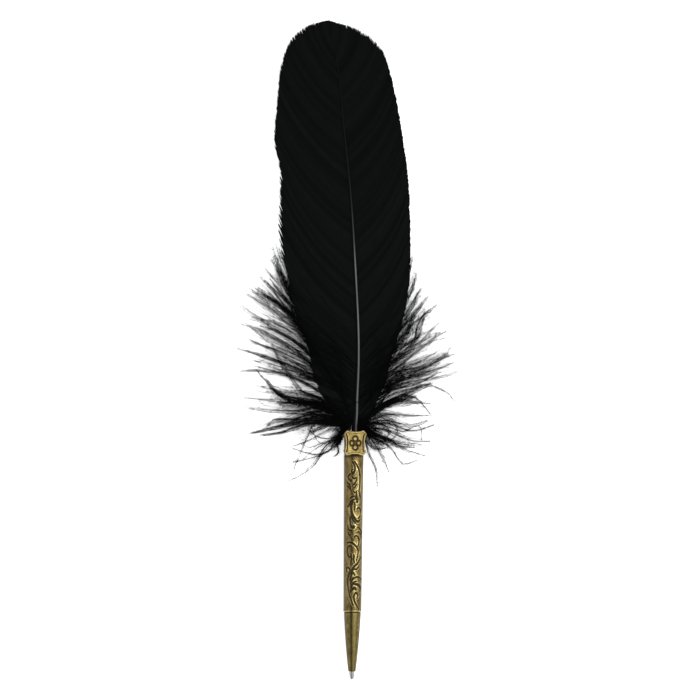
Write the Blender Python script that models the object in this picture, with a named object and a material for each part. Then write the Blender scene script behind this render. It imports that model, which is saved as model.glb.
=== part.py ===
"""A goose feather, dyed black, with its quill fixed in the brass holder of a ballpoint pen.

It lies on a table, face up. The feather's tip points along +Y, the writing point along -Y,
and the face with the pale shaft looks up along +Z. The origin is the middle of the space it
takes up, on the table. Units are metres. While it is built, the zero of X and Y is the middle
of the collar's top, where the feather leaves the holder.
"""

import math

import bmesh
import bpy
import numpy as np
from mathutils import Matrix, Vector

MM = 0.001
GAP = 0.3 * MM  # left between two pieces that touch

# Pen: one axis, level, with the plain pad on the collar's back flat on the table
PEN_HEIGHT = 4.9 * MM
COLLAR_LENGTH = 10.9 * MM
BARREL_LENGTH = 67.1 * MM
CONE_LENGTH = 25.5 * MM
POINT_LENGTH = 3.3 * MM

# Collar: a cast round body with a bead near its foot, a plaque on its front and a narrow pad behind
COLLAR_SIDES = 32
COLLAR_TOP_INSET = 0.7 * MM  # the body starts this far under the plaque's top corners
COLLAR_RADIUS = 4.13 * MM
BEAD_PLACE = 9.0 * MM  # below the collar's top
BEAD_HALF_HEIGHT = 0.6 * MM
BEAD_RADIUS = 4.47 * MM
SOCKET_DEPTH = 7.5 * MM
SOCKET_SIDES = 24
SPIGOT_LENGTH = 5.0 * MM
PLAQUE_BACK = 3.3 * MM  # from the pen's axis, inside the body
PLAQUE_FACE = PEN_HEIGHT
PLAQUE_BEVEL = 0.25 * MM
BACK_PAD_SHARE = 0.74  # its width, of the plaque's, so that the body hides it from the front
# Right half of the plaque's outline from the middle of its top edge, in mm: across, below the top
PLAQUE_OUTLINE = (
    (0.0, 0.55),
    (1.9, 0.42),
    (3.65, 0.0),
    (4.86, 1.65),
    (4.35, 3.6),
    (4.1, 5.7),
    (4.25, 7.8),
    (4.6, 9.35),
    (3.3, 10.9),
    (1.7, 10.4),
    (0.0, 10.25),
)

# Barrel: a drawn tube, a little thinner at the writing end
BARREL_SIDES = 40
BARREL_TOP_RADIUS = 4.13 * MM
BARREL_END_RADIUS = 3.87 * MM
BARREL_BORE_RADIUS = 3.0 * MM
BARREL_LIP = 0.9 * MM  # the turned lip at its lower end
BARREL_LIP_PROUD = 0.1 * MM
SPIGOT_RADIUS = BARREL_BORE_RADIUS - GAP

# Nose cone: a turned taper whose spigot screws into the barrel
CONE_TOP_RADIUS = 3.65 * MM
CONE_END_RADIUS = 1.63 * MM
CONE_SWELL = 0.22 * MM  # how much its side bulges over a straight taper
CONE_CHAMFER = 0.5 * MM
CONE_END_LAND = 0.05 * MM  # the flat ring that its chamfer leaves round the outlet
CONE_SPIGOT = 6.0 * MM
CONE_STEPS = 5
CONE_SIDES = 28

# Refill: an ink tube with a steel point in its end
REFILL_SIDES = 20
REFILL_TUBE_RADIUS = 1.5 * MM
REFILL_TUBE_LENGTH = 68.0 * MM
REFILL_TUBE_START = 8.0 * MM  # above the cone's end
POINT_RADIUS = 1.15 * MM
POINT_NIB_RADIUS = 0.55 * MM
POINT_TAIL_RADIUS = 0.8 * MM
POINT_TAIL = 5.0 * MM
POINT_SHOULDER = 0.9 * MM  # its straight part outside the cone
POINT_NIB = 0.5 * MM  # from the taper's end to the ball's end
BALL_RADIUS = 0.4 * MM
BALL_PROUD = 0.32 * MM
BALL_RINGS = (35, 70)  # degrees round the ball from its widest ring to its end

# Feather: it leans by this angle from the pen's axis
FEATHER_LEAN = math.radians(0.76)
CALAMUS_DEPTH = 6.5 * MM
SHAFT_SIDES = 10
SHAFT_STATIONS = 22
# Along the shaft in mm: place, sideways place, height, radius
SHAFT = (
    (-6.5, 0.0, 4.9, 1.3),
    (0.0, 0.2, 4.9, 1.25),
    (12.6, 0.9, 5.4, 1.1),
    (38.0, 1.7, 6.6, 0.95),
    (72.0, 0.1, 7.6, 0.8),
    (102.6, -1.9, 7.4, 0.65),
    (130.0, -4.6, 6.2, 0.5),
    (150.6, -6.3, 4.7, 0.38),
    (162.0, -7.9, 3.7, 0.3),
    (176.0, -10.7, 2.2, 0.3),
)
SHAFT_END = 162.0

# Vanes: each row is a barb, by the place on the shaft it grows from and the place of its tip, in mm
LEFT_VANE = (
    (2.0, -9.0, 7.0),
    (8.0, -17.0, 21.0),
    (16.0, -20.9, 41.0),
    (24.0, -24.1, 52.0),
    (32.0, -26.0, 65.0),
    (38.0, -30.6, 77.0),
    (47.0, -32.7, 90.0),
    (68.0, -31.8, 111.8),
    (76.0, -33.6, 120.0),
    (84.0, -34.4, 126.0),
    (102.0, -33.1, 142.0),
    (120.0, -31.8, 155.0),
    (130.0, -29.7, 162.0),
    (140.0, -26.0, 168.3),
    (150.0, -19.0, 173.0),
    (162.0, -12.2, 175.6),
)
RIGHT_VANE = (
    (2.0, 8.0, 6.0),
    (8.0, 14.5, 24.0),
    (13.0, 17.9, 37.8),
    (24.0, 22.4, 55.0),
    (34.0, 23.2, 69.0),
    (48.0, 23.3, 84.0),
    (71.0, 22.4, 107.5),
    (91.0, 20.2, 124.7),
    (111.0, 17.2, 142.0),
    (132.0, 12.5, 159.0),
    (141.0, 9.4, 164.5),
    (149.0, 4.0, 169.0),
    (155.0, -1.6, 172.4),
    (162.0, -9.4, 175.4),
)
VANE_ROWS = 40
VANE_COLUMNS = 5  # on each side of the shaft
VANE_THICKNESS = 0.9 * MM
VANE_EDGE_SHARE = 0.5  # of that thickness, at the barbs' tips
VANE_CAMBER = 2.4  # mm that the vane falls towards a side edge
VANE_HALF_WIDTH = 30.0  # mm from the shaft, where it has fallen that far
BARB_BOW = 0.07  # how far a barb bows from a straight line, of its length
RIB_HEIGHT = 0.14  # mm between neighbouring rows of barbs

# Down: the outline its tips reach, by the share of the way from the topmost lock to the lowest, in mm
LEFT_REACH = (
    (0.00, -33.0, 80.0),
    (0.12, -41.0, 64.0),
    (0.25, -48.0, 50.0),
    (0.40, -50.3, 33.0),
    (0.52, -48.0, 15.0),
    (0.66, -45.0, -1.5),
    (0.78, -36.0, -6.0),
    (0.90, -27.0, -19.5),
    (1.00, -15.5, -15.5),
)
RIGHT_REACH = (
    (0.00, 26.7, 69.0),
    (0.15, 33.0, 57.0),
    (0.30, 43.0, 43.0),
    (0.45, 46.0, 26.0),
    (0.58, 44.0, 11.5),
    (0.70, 36.5, 1.5),
    (0.80, 32.5, -10.5),
    (0.90, 23.0, -16.0),
    (1.00, 12.0, -21.0),
)
# By the same share: place on the shaft it grows from in mm, and its angles from the shaft at root and tip
LOCK_FLOW = (
    (0.00, 38.0, 40.0, 26.0),
    (0.25, 20.0, 42.0, 52.0),
    (0.50, 9.0, 52.0, 84.0),
    (0.70, 6.5, 72.0, 104.0),
    (1.00, 5.2, 80.0, 150.0),
)
SIDE_LOCKS = 28  # on each side
SHORT_LOCK = 0.76  # every other lock's length, of the full reach
LOCK_WIDTH = 4.2 * MM
LOCK_THICKNESS = 0.85 * MM
LOCK_SWELL = (0.14, 0.94)  # part of a half wave that its width follows from root to tip
LOCK_TAPER = 0.85  # how much of that width a late taper takes away at its tip
LOCK_THINNING = 0.65  # how much of its thickness is gone at its tip
LOCK_TIP_SHARE = 0.06  # of its width, left at its tip
LOCK_STATIONS = 6
LOCK_BEND = 0.4  # how far its root and tip hold their directions, of its length
ROOT_INSET = 0.2  # mm from the middle of the shaft to its side
ROOT_LEVELS = (0.0, 0.35, -0.3)  # heights of neighbouring roots over the middle of the shaft in mm
LOCK_LIFTS = (0.6, 7.2, 2.6, 9.4, 0.6, 5.0)  # heights of neighbouring tips over the table in mm
# Locks that curl over the face: place on the shaft, tip's sideways place, tip's place, its height, in mm
FACE_LOCKS = (
    (5.0, -13.0, 33.0, 10.6),
    (7.0, 13.5, 29.0, 10.8),
    (9.0, -19.0, 50.0, 10.0),
    (11.0, 18.5, 47.0, 10.2),
    (4.0, -7.0, 21.0, 10.8),
    (4.5, 7.5, 19.0, 11.0),
)
FACE_LOCK_ARCH = 2.0  # mm that it rises over a straight line
FACE_LOCK_BENDS = ((0.3, 0.18), (0.7, 0.12))  # share of the way, and how far it swings out there
FACE_LOCK_WIDTH = 0.8  # of a side lock's


def material(name, colour, roughness, metallic):
    finish = bpy.data.materials.new(name)
    finish.use_nodes = True
    shader = finish.node_tree.nodes["Principled BSDF"]
    shader.inputs["Base Color"].default_value = (*colour, 1)
    shader.inputs["Roughness"].default_value = roughness
    shader.inputs["Metallic"].default_value = metallic
    return finish


def node(name, mesh, finish):
    """Adds a piece to the scene under its name, with its round sides shaded smooth."""
    piece = bpy.data.objects.new(name, mesh)
    bpy.context.scene.collection.objects.link(piece)
    mesh.materials.clear()
    mesh.materials.append(finish)
    mesh.shade_smooth()
    mesh.set_sharp_from_angle(angle=math.radians(32))
    return piece


def smooth(keys, place):
    """Reads the smooth curve through keys, each a place and its values, at one place."""
    table = np.array(keys, float)
    places = table[:, 0]
    values = table[:, 1:]
    slopes = np.gradient(values, places, axis=0)
    k = int(np.clip(np.searchsorted(places, place) - 1, 0, len(places) - 2))
    step = places[k + 1] - places[k]
    t = min(max((place - places[k]) / step, 0.0), 1.0)
    start = (1 + 2 * t) * (1 - t) ** 2
    end = t * t * (3 - 2 * t)
    leave = t * (1 - t) ** 2 * step
    arrive = t * t * (t - 1) * step
    return (
        start * values[k]
        + end * values[k + 1]
        + leave * slopes[k]
        + arrive * slopes[k + 1]
    )


def turned(profile, sides, ring_shaped=True):
    """A solid turned about the pen's axis from a profile of (place along Y, radius) points.

    A ring-shaped one has a hole through it: its profile closes on itself. Otherwise flat ends
    close its first and last rings.
    """
    shape = bmesh.new()
    rings = []
    for place, radius in profile:
        ring = []
        for side in range(sides):
            angle = math.tau * side / sides
            across = radius * math.cos(angle)
            up = PEN_HEIGHT + radius * math.sin(angle)
            ring.append(shape.verts.new((across, place, up)))
        rings.append(ring)
    if ring_shaped:
        rings.append(rings[0])
    for ring, following in zip(rings, rings[1:]):
        for side in range(sides):
            after = (side + 1) % sides
            shape.faces.new(
                (ring[side], ring[after], following[after], following[side])
            )
    if not ring_shaped:
        shape.faces.new(rings[0])
        shape.faces.new(rings[-1])
    bmesh.ops.recalc_face_normals(shape, faces=shape.faces)
    mesh = bpy.data.meshes.new("turned")
    shape.to_mesh(mesh)
    shape.free()
    return mesh


def joined(base, tool, operation, solver="EXACT"):
    """Applies a Boolean of two meshes and returns the result as a mesh."""
    body = bpy.data.objects.new("body", base)
    other = bpy.data.objects.new("other", tool)
    for helper in (body, other):
        bpy.context.scene.collection.objects.link(helper)
    change = body.modifiers.new("change", "BOOLEAN")
    change.operation = operation
    change.object = other
    change.solver = solver
    graph = bpy.context.evaluated_depsgraph_get()
    result = bpy.data.meshes.new_from_object(body.evaluated_get(graph))
    for helper in (body, other):
        bpy.data.objects.remove(helper)
    return result


def plaque(facing, width):
    """A scooped plaque with cut corners, facing up (1) or down (-1), its front edge bevelled.

    Width is the share of the outline's own width that it keeps.
    """
    half = [Vector((across * width, below)) * MM for across, below in PLAQUE_OUTLINE]
    mirrored = [Vector((-point.x, point.y)) for point in half[-2:0:-1]]
    centre = Vector((0, COLLAR_LENGTH / 2))
    kept = 1 - PLAQUE_BEVEL / COLLAR_RADIUS
    shape = bmesh.new()
    rings = []
    for depth, scale in (
        (PLAQUE_BACK, 1.0),
        (PLAQUE_FACE - PLAQUE_BEVEL, 1.0),
        (PLAQUE_FACE, kept),
    ):
        ring = []
        for point in half + mirrored:
            x, below = centre + (point - centre) * scale
            ring.append(shape.verts.new((x, -below, PEN_HEIGHT + facing * depth)))
        rings.append(ring)
    count = len(rings[0])
    for lower, upper in zip(rings, rings[1:]):
        for side in range(count):
            after = (side + 1) % count
            shape.faces.new((lower[side], lower[after], upper[after], upper[side]))
    shape.faces.new(rings[0])
    shape.faces.new(rings[-1])
    bmesh.ops.recalc_face_normals(shape, faces=shape.faces)
    mesh = bpy.data.meshes.new("plaque")
    shape.to_mesh(mesh)
    shape.free()
    return mesh


def collar():
    """The casting, with the socket for the quill in its top and a spigot below for the barrel."""
    bead = [(-BEAD_PLACE + BEAD_HALF_HEIGHT, COLLAR_RADIUS)]
    bead.append((-BEAD_PLACE + BEAD_HALF_HEIGHT / 2, BEAD_RADIUS))
    bead.append((-BEAD_PLACE - BEAD_HALF_HEIGHT / 2, BEAD_RADIUS))
    bead.append((-BEAD_PLACE - BEAD_HALF_HEIGHT, COLLAR_RADIUS))
    profile = [
        (-COLLAR_TOP_INSET, COLLAR_RADIUS),
        *bead,
        (-COLLAR_LENGTH, COLLAR_RADIUS),
        (-COLLAR_LENGTH, SPIGOT_RADIUS),
        (-COLLAR_LENGTH - SPIGOT_LENGTH, SPIGOT_RADIUS),
    ]
    body = turned(profile, COLLAR_SIDES, False)
    for facing, width in ((1, 1), (-1, BACK_PAD_SHARE)):
        body = joined(body, plaque(facing, width), "UNION")
    socket_radius = SHAFT[0][3] * MM + GAP
    past_the_top = COLLAR_TOP_INSET
    socket = [(past_the_top, socket_radius), (-SOCKET_DEPTH, socket_radius)]
    return joined(body, turned(socket, SOCKET_SIDES, False), "DIFFERENCE")


BARREL_START = -COLLAR_LENGTH - GAP
BARREL_END = -COLLAR_LENGTH - BARREL_LENGTH
CONE_START = BARREL_END - GAP
CONE_END = CONE_START - CONE_LENGTH
POINT_END = CONE_END - POINT_LENGTH


def barrel():
    lip_start = BARREL_END + BARREL_LIP
    lip_radius = BARREL_END_RADIUS + BARREL_LIP_PROUD
    profile = [
        (BARREL_START, BARREL_BORE_RADIUS),
        (BARREL_START, BARREL_TOP_RADIUS),
        (lip_start, BARREL_END_RADIUS),
        (lip_start - BARREL_LIP_PROUD, lip_radius),
        (BARREL_END, lip_radius),
        (BARREL_END, BARREL_BORE_RADIUS),
    ]
    return turned(profile, BARREL_SIDES)


def nose_cone():
    """A taper with a slight swell, bored through for the refill and narrower at its end."""
    bore = REFILL_TUBE_RADIUS + GAP
    outlet = POINT_RADIUS + GAP
    shoulder = CONE_END + REFILL_TUBE_START - GAP
    spigot_top = CONE_START + CONE_SPIGOT
    profile = [
        (spigot_top, bore),
        (spigot_top, SPIGOT_RADIUS),
        (CONE_START, SPIGOT_RADIUS),
    ]
    for step in range(CONE_STEPS + 1):
        share = step / CONE_STEPS
        place = CONE_START + (CONE_END + CONE_CHAMFER - CONE_START) * share
        straight = CONE_TOP_RADIUS + (CONE_END_RADIUS - CONE_TOP_RADIUS) * share
        profile.append((place, straight + CONE_SWELL * math.sin(math.pi * share)))
    profile += [
        (CONE_END, outlet + CONE_END_LAND),
        (CONE_END, outlet),
        (shoulder, outlet),
        (shoulder, bore),
    ]
    return turned(profile, CONE_SIDES)


def ink_tube():
    start = CONE_END + REFILL_TUBE_START
    hole = POINT_TAIL_RADIUS + GAP
    profile = [
        (start, hole),
        (start, REFILL_TUBE_RADIUS),
        (start + REFILL_TUBE_LENGTH, REFILL_TUBE_RADIUS),
        (start + REFILL_TUBE_LENGTH, hole),
    ]
    return turned(profile, REFILL_SIDES)


def writing_point():
    """A turned steel point: a tail in the ink tube, a straight body, a taper, and the ball at its end."""
    tube_start = CONE_END + REFILL_TUBE_START
    body_top = tube_start - GAP
    profile = [
        (tube_start + POINT_TAIL, POINT_TAIL_RADIUS),
        (body_top, POINT_TAIL_RADIUS),
        (body_top, POINT_RADIUS),
        (CONE_END - POINT_SHOULDER, POINT_RADIUS),
        (POINT_END + POINT_NIB, POINT_NIB_RADIUS),
        (POINT_END + BALL_PROUD, BALL_RADIUS),
    ]
    for angle in BALL_RINGS:
        turn = math.radians(angle)
        place = POINT_END + BALL_PROUD * (1 - math.sin(turn))
        profile.append((place, BALL_RADIUS * math.cos(turn)))
    return turned(profile, REFILL_SIDES, False)


def shaft_at(place):
    """Middle of the shaft at a place along it, in mm."""
    across, height, _ = smooth(SHAFT, place)
    return Vector((across, place, height))


def quill():
    """The shaft from the calamus in the socket to its end near the feather's tip, as a tapered tube."""
    shape = bmesh.new()
    rings = []
    for place in np.linspace(-CALAMUS_DEPTH / MM, SHAFT_END, SHAFT_STATIONS):
        across, height, radius = smooth(SHAFT, place)
        ring = []
        for side in range(SHAFT_SIDES):
            angle = math.tau * (side + 0.5) / SHAFT_SIDES
            x = across + radius * math.cos(angle)
            z = height + radius * math.sin(angle)
            ring.append(shape.verts.new((x * MM, place * MM, z * MM)))
        rings.append(ring)
    for upper, lower in zip(rings, rings[1:]):
        for side in range(SHAFT_SIDES):
            after = (side + 1) % SHAFT_SIDES
            shape.faces.new((upper[side], upper[after], lower[after], lower[side]))
    shape.faces.new(rings[0])
    shape.faces.new(rings[-1])
    bmesh.ops.recalc_face_normals(shape, faces=shape.faces)
    mesh = bpy.data.meshes.new("quill")
    shape.to_mesh(mesh)
    shape.free()
    return mesh


def vane_height(x, y):
    """Height of the vane over the table: it follows the shaft and falls away to each side."""
    across, height, _ = smooth(SHAFT, min(y, SHAFT[-1][0]))
    return height - VANE_CAMBER * (abs(x - across) / VANE_HALF_WIDTH) ** 1.5


def barb_row(place, vane, side, raised):
    """Points along one barb, from next to the shaft out to its tip, in mm."""
    root = shaft_at(place).to_2d()
    tip = Vector(smooth(vane, place))
    along = tip - root
    outward = Vector((side * along.y, -side * along.x))
    middle = (root + tip) / 2 + outward * BARB_BOW
    row = []
    for column in range(1, VANE_COLUMNS + 1):
        t = column / VANE_COLUMNS
        point = (1 - t) ** 2 * root + 2 * t * (1 - t) * middle + t * t * tip
        height = vane_height(point.x, point.y) + raised * (1 - t)
        row.append(Vector((point.x, point.y, height)))
    return row


def vanes():
    """Both vanes as one thin sheet, a row of its grid for each group of barbs, made solid."""
    shape = bmesh.new()
    grid = []
    for index, place in enumerate(np.linspace(LEFT_VANE[0][0], SHAFT_END, VANE_ROWS)):
        raised = RIB_HEIGHT * (index % 2)
        left = barb_row(place, LEFT_VANE, -1, raised)
        right = barb_row(place, RIGHT_VANE, 1, raised)
        row = left[::-1] + [shaft_at(place)] + right
        grid.append([shape.verts.new(point * MM) for point in row])
    for lower, upper in zip(grid, grid[1:]):
        for k in range(2 * VANE_COLUMNS):
            shape.faces.new((lower[k], lower[k + 1], upper[k + 1], upper[k]))
    last = grid[-1]
    middle = VANE_COLUMNS
    shape.faces.new((last[middle - 1], last[middle], last[middle + 1]))
    for k in range(1, VANE_COLUMNS):
        shape.faces.new(
            (
                last[middle - k - 1],
                last[middle - k],
                last[middle + k],
                last[middle + k + 1],
            )
        )
    mesh = bpy.data.meshes.new("vanes")
    shape.to_mesh(mesh)
    shape.free()
    sheet = bpy.data.objects.new("sheet", mesh)
    bpy.context.scene.collection.objects.link(sheet)
    thick = sheet.vertex_groups.new(name="thick")
    row_length = 2 * VANE_COLUMNS + 1
    for vertex in mesh.vertices:
        out = abs(vertex.index % row_length - VANE_COLUMNS) / VANE_COLUMNS
        thick.add([vertex.index], 1 - (1 - VANE_EDGE_SHARE) * out, "REPLACE")
    solid = sheet.modifiers.new("thickness", "SOLIDIFY")
    solid.thickness = VANE_THICKNESS
    solid.offset = 0
    solid.vertex_group = thick.name
    graph = bpy.context.evaluated_depsgraph_get()
    result = bpy.data.meshes.new_from_object(sheet.evaluated_get(graph))
    bpy.data.objects.remove(sheet)
    return result


def lock(bends, width, thickness):
    """A flattened, tapered blade along a curve given by four points in mm, widest before its middle."""
    shape = bmesh.new()
    rings = []
    for station in range(LOCK_STATIONS):
        t = station / (LOCK_STATIONS - 1)
        s = 1 - t
        middle = (
            s**3 * bends[0]
            + 3 * s * s * t * bends[1]
            + 3 * s * t * t * bends[2]
            + t**3 * bends[3]
        ) * MM
        along = (
            s * s * (bends[1] - bends[0])
            + 2 * s * t * (bends[2] - bends[1])
            + t * t * (bends[3] - bends[2])
        )
        flat = along.cross(Vector((0, 0, 1))).normalized()
        face = flat.cross(along).normalized()
        wave = LOCK_SWELL[0] * s + LOCK_SWELL[1] * t
        swell = math.sin(math.pi * wave) * (1 - LOCK_TAPER * t**4)
        half = width / 2 * max(swell, LOCK_TIP_SHARE)
        deep = thickness / 2 * (1 - LOCK_THINNING * t)
        rings.append(
            [
                shape.verts.new(middle + flat * half),
                shape.verts.new(middle + face * deep),
                shape.verts.new(middle - flat * half),
                shape.verts.new(middle - face * deep),
            ]
        )
    for lower, upper in zip(rings, rings[1:]):
        for k in range(4):
            after = (k + 1) % 4
            shape.faces.new((lower[k], lower[after], upper[after], upper[k]))
    shape.faces.new(rings[0])
    shape.faces.new(rings[-1])
    bmesh.ops.recalc_face_normals(shape, faces=shape.faces)
    mesh = bpy.data.meshes.new("lock")
    shape.to_mesh(mesh)
    shape.free()
    return mesh


def side_lock(index, side, reach):
    """One lock of the down at a side: it leaves the shaft, bends, and ends on the down's outline."""
    share = index / (SIDE_LOCKS - 1)
    place, root_angle, tip_angle = smooth(LOCK_FLOW, share)
    level = ROOT_LEVELS[index % len(ROOT_LEVELS)]
    root = shaft_at(place) + Vector((side * ROOT_INSET, 0, level))
    x, y = smooth(reach, share)
    full = Vector((x, y, LOCK_LIFTS[index % len(LOCK_LIFTS)]))
    length = 1.0 if index % 2 == 0 else SHORT_LOCK
    tip = root.lerp(full, length)
    bend = (tip - root).length * LOCK_BEND
    leave = math.radians(root_angle)
    arrive = math.radians(tip_angle)
    first = root + Vector((side * math.sin(leave), math.cos(leave), 0)) * bend
    second = tip - Vector((side * math.sin(arrive), math.cos(arrive), 0)) * bend
    return lock((root, first, second, tip), LOCK_WIDTH, LOCK_THICKNESS)


def face_lock(place, x, y, height):
    """One lock that curls over the lower part of the face."""
    root = shaft_at(place)
    tip = Vector((x, y, height))
    first, second = (
        root.lerp(tip, share) + Vector((x * swing, 0, FACE_LOCK_ARCH))
        for share, swing in FACE_LOCK_BENDS
    )
    width = LOCK_WIDTH * FACE_LOCK_WIDTH
    return lock((root, first, second, tip), width, LOCK_THICKNESS)


def without_pockets(mesh):
    """Keeps the outer surface only, and fills the small sealed pockets left where locks cross."""
    shape = bmesh.new()
    shape.from_mesh(mesh)
    left = set(shape.verts)
    groups = []
    while left:
        front = [left.pop()]
        group = list(front)
        while front:
            edges = front.pop().link_edges
            near = {vertex for edge in edges for vertex in edge.verts} & left
            left -= near
            front.extend(near)
            group.extend(near)
        groups.append(group)
    groups.sort(key=len)
    for group in groups[:-1]:
        bmesh.ops.delete(shape, geom=group, context="VERTS")
    shape.to_mesh(mesh)
    shape.free()
    return mesh


def feather():
    """Quill, vanes and locks grown together as one solid, then leaned to the pen's axis.

    The locks cross at such flat angles that the exact solver loses the body, so the manifold
    solver joins them.
    """
    body = joined(vanes(), quill(), "UNION")
    locks = [face_lock(*row) for row in FACE_LOCKS]
    for index in range(SIDE_LOCKS):
        locks.append(side_lock(index, -1, LEFT_REACH))
        locks.append(side_lock(index, 1, RIGHT_REACH))
    for blade in locks:
        body = joined(body, blade, "UNION", "MANIFOLD")
    body = without_pockets(body)
    body.transform(Matrix.Rotation(FEATHER_LEAN, 4, "Z"))
    return body


def rest_on_origin(pieces):
    """Moves every piece by the same amount, so that the origin is under the middle of them all."""
    corners = np.array(
        [vertex.co for piece in pieces for vertex in piece.data.vertices]
    )
    low = corners.min(axis=0)
    high = corners.max(axis=0)
    middle = Vector(((low[0] + high[0]) / 2, (low[1] + high[1]) / 2, low[2]))
    for piece in pieces:
        piece.location = -middle


def build():
    for old in list(bpy.data.objects):
        bpy.data.objects.remove(old)
    black = material("dyed_black_feather", (0.006, 0.006, 0.006), 0.75, 0)
    collar_brass = material("collar_brass", (0.36, 0.27, 0.10), 0.35, 1)
    barrel_brass = material("barrel_brass", (0.26, 0.19, 0.08), 0.38, 1)
    cone_brass = material("cone_brass", (0.20, 0.15, 0.07), 0.4, 1)
    tube = material("ink_tube_brass", (0.5, 0.38, 0.16), 0.35, 1)
    steel = material("point_steel", (0.55, 0.55, 0.53), 0.25, 1)
    pieces = [
        node("feather", feather(), black),
        node("collar", collar(), collar_brass),
        node("barrel", barrel(), barrel_brass),
        node("nose_cone", nose_cone(), cone_brass),
        node("ink_tube", ink_tube(), tube),
        node("writing_point", writing_point(), steel),
    ]
    rest_on_origin(pieces)


build()
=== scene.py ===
import math

import bpy
import numpy as np
from mathutils import Matrix, Vector


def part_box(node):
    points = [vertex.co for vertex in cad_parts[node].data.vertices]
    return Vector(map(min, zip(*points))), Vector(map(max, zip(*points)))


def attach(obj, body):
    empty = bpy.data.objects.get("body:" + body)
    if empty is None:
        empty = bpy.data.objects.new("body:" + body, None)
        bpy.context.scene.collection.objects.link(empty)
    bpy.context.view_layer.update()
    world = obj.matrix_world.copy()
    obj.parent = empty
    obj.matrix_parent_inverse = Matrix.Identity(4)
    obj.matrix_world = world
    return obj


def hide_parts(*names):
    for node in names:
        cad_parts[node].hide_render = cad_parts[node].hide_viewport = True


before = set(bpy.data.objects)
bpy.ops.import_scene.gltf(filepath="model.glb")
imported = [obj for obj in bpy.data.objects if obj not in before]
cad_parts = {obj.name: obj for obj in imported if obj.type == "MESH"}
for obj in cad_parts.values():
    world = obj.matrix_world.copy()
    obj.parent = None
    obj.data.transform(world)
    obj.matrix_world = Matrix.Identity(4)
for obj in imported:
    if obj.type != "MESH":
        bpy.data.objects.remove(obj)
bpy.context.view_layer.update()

# The camera looks straight down on the pen as it lies, turned a little to its left side.
# It stands so far off that the feather's tip and the steel point are at almost the same scale.
MM = 0.001
CAMERA_DISTANCE = 1.2
CAMERA_LENS = 143.5
CAMERA_SIDE_TILT = math.radians(7.5)
CAMERA_ROLL = math.radians(0.48)
CAMERA_AIM_ACROSS = -1.99
CAMERA_AIM_ALONG = 34.38

collar_low, collar_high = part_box("collar")
PEN_AXIS = Vector(((collar_low.x + collar_high.x) / 2, collar_high.y, (collar_low.z + collar_high.z) / 2))

aim = PEN_AXIS + Vector((CAMERA_AIM_ACROSS, CAMERA_AIM_ALONG, 0)) * MM
tilt = Matrix.Rotation(-CAMERA_SIDE_TILT, 3, "Y")
camera = bpy.data.objects.new("camera", bpy.data.cameras.new("camera"))
camera.data.lens = CAMERA_LENS
camera.data.sensor_width = 36
camera.data.clip_end = 10
camera.location = aim + tilt @ Vector((0, 0, CAMERA_DISTANCE))
camera.rotation_euler = (tilt @ Matrix.Rotation(CAMERA_ROLL, 3, "Z")).to_euler()
bpy.context.scene.collection.objects.link(camera)
bpy.context.scene.camera = camera


# The writing point is the refill's turned steel tip: a collar that fits the nose cone, a taper and
# a small rolling ball. It is pressed on the end of the plain ink tube, which is hidden in the barrel.
POINT_END = -107.45
POINT_START = -90.8
POINT_PROFILE = ((POINT_START, 0), (POINT_START, 0.8), (-95.8, 0.8), (-95.9, 1.17), (-105.2, 1.17),
                 (-105.5, 1.12), (-106.6, 0.92), (-106.9, 0.78), (-106.95, 0.6))
BALL_RADIUS = 0.55
BALL_STEPS = 7
POINT_SIDES = 64
# Painted shade on turned pieces: it starts at this share of the way out to their flanks, and a painted dark
# reflection streak lies at this turn beside their middle, with this half width, in degrees.
FLANK_START = 0.62
STREAK_TURN = -15
STREAK_HALF_TURN = 11
STEEL = (0.62, 0.61, 0.58)
STEEL_DULL = (0.40, 0.395, 0.38)
# The next colour is painted shade: near-black grey on the point's flanks, in a dark reflection streak beside
# its middle and at the ball's tip.
STEEL_PAINTED_SHADE = (0.09, 0.09, 0.088)
INK_TUBE_BRASS = (0.55, 0.42, 0.20)


def body(name, points, faces, material, slot, *nodes, crease=40):
    """A new piece from points in metres. It rides on the pen and stands for the CAD nodes named."""
    mesh = bpy.data.meshes.new(name)
    mesh.from_pydata(points.tolist(), [], faces)
    mesh.shade_smooth()
    mesh.set_sharp_from_angle(angle=math.radians(crease))
    mesh.materials.append(material)
    piece = bpy.data.objects.new(name, mesh)
    bpy.context.scene.collection.objects.link(piece)
    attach(piece, "root")
    if nodes:
        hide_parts(*nodes)
    return piece


def bands(rings):
    """The faces between rings of numbered points, each ring closed on itself."""
    beside = np.roll(rings, -1, axis=1)
    return np.stack([rings[:-1], rings[1:], beside[1:], beside[:-1]], axis=-1).reshape(-1, 4)


def turned(profile, sides, relief=0.0, hollow=False):
    """Points and faces of a profile of (place along the pen, radius) in mm, turned about the pen's axis.
    It runs from the feather's end to the point. A hollow one closes on itself, a solid one on the axis."""
    place, radius = np.array(profile, float).T
    turn = np.linspace(0, 2 * math.pi, sides, endpoint=False)
    radius = radius[:, None] + relief * np.ones((1, sides))
    across = radius * np.sin(turn)
    along = place[:, None] * np.ones((1, sides))
    up = radius * np.cos(turn)
    points = np.stack([across, along, up], axis=-1) * MM + np.array(PEN_AXIS)
    index = np.arange(len(place) * sides).reshape(len(place), sides)
    points = points.reshape(-1, 3)
    if hollow:
        return points, bands(np.vstack([index, index[:1]])).tolist()
    start, end = points[0], points[-1]
    points = np.vstack([points[sides:-sides], start, end])
    inner = bands(index[1:-1]) - sides
    first, last = index[1] - sides, index[-2] - sides
    start_cap = [[len(points) - 2, a, b] for a, b in zip(first, np.roll(first, -1))]
    end_cap = [[b, a, len(points) - 1] for a, b in zip(last, np.roll(last, -1))]
    return points, inner.tolist() + start_cap + end_cap


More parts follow.
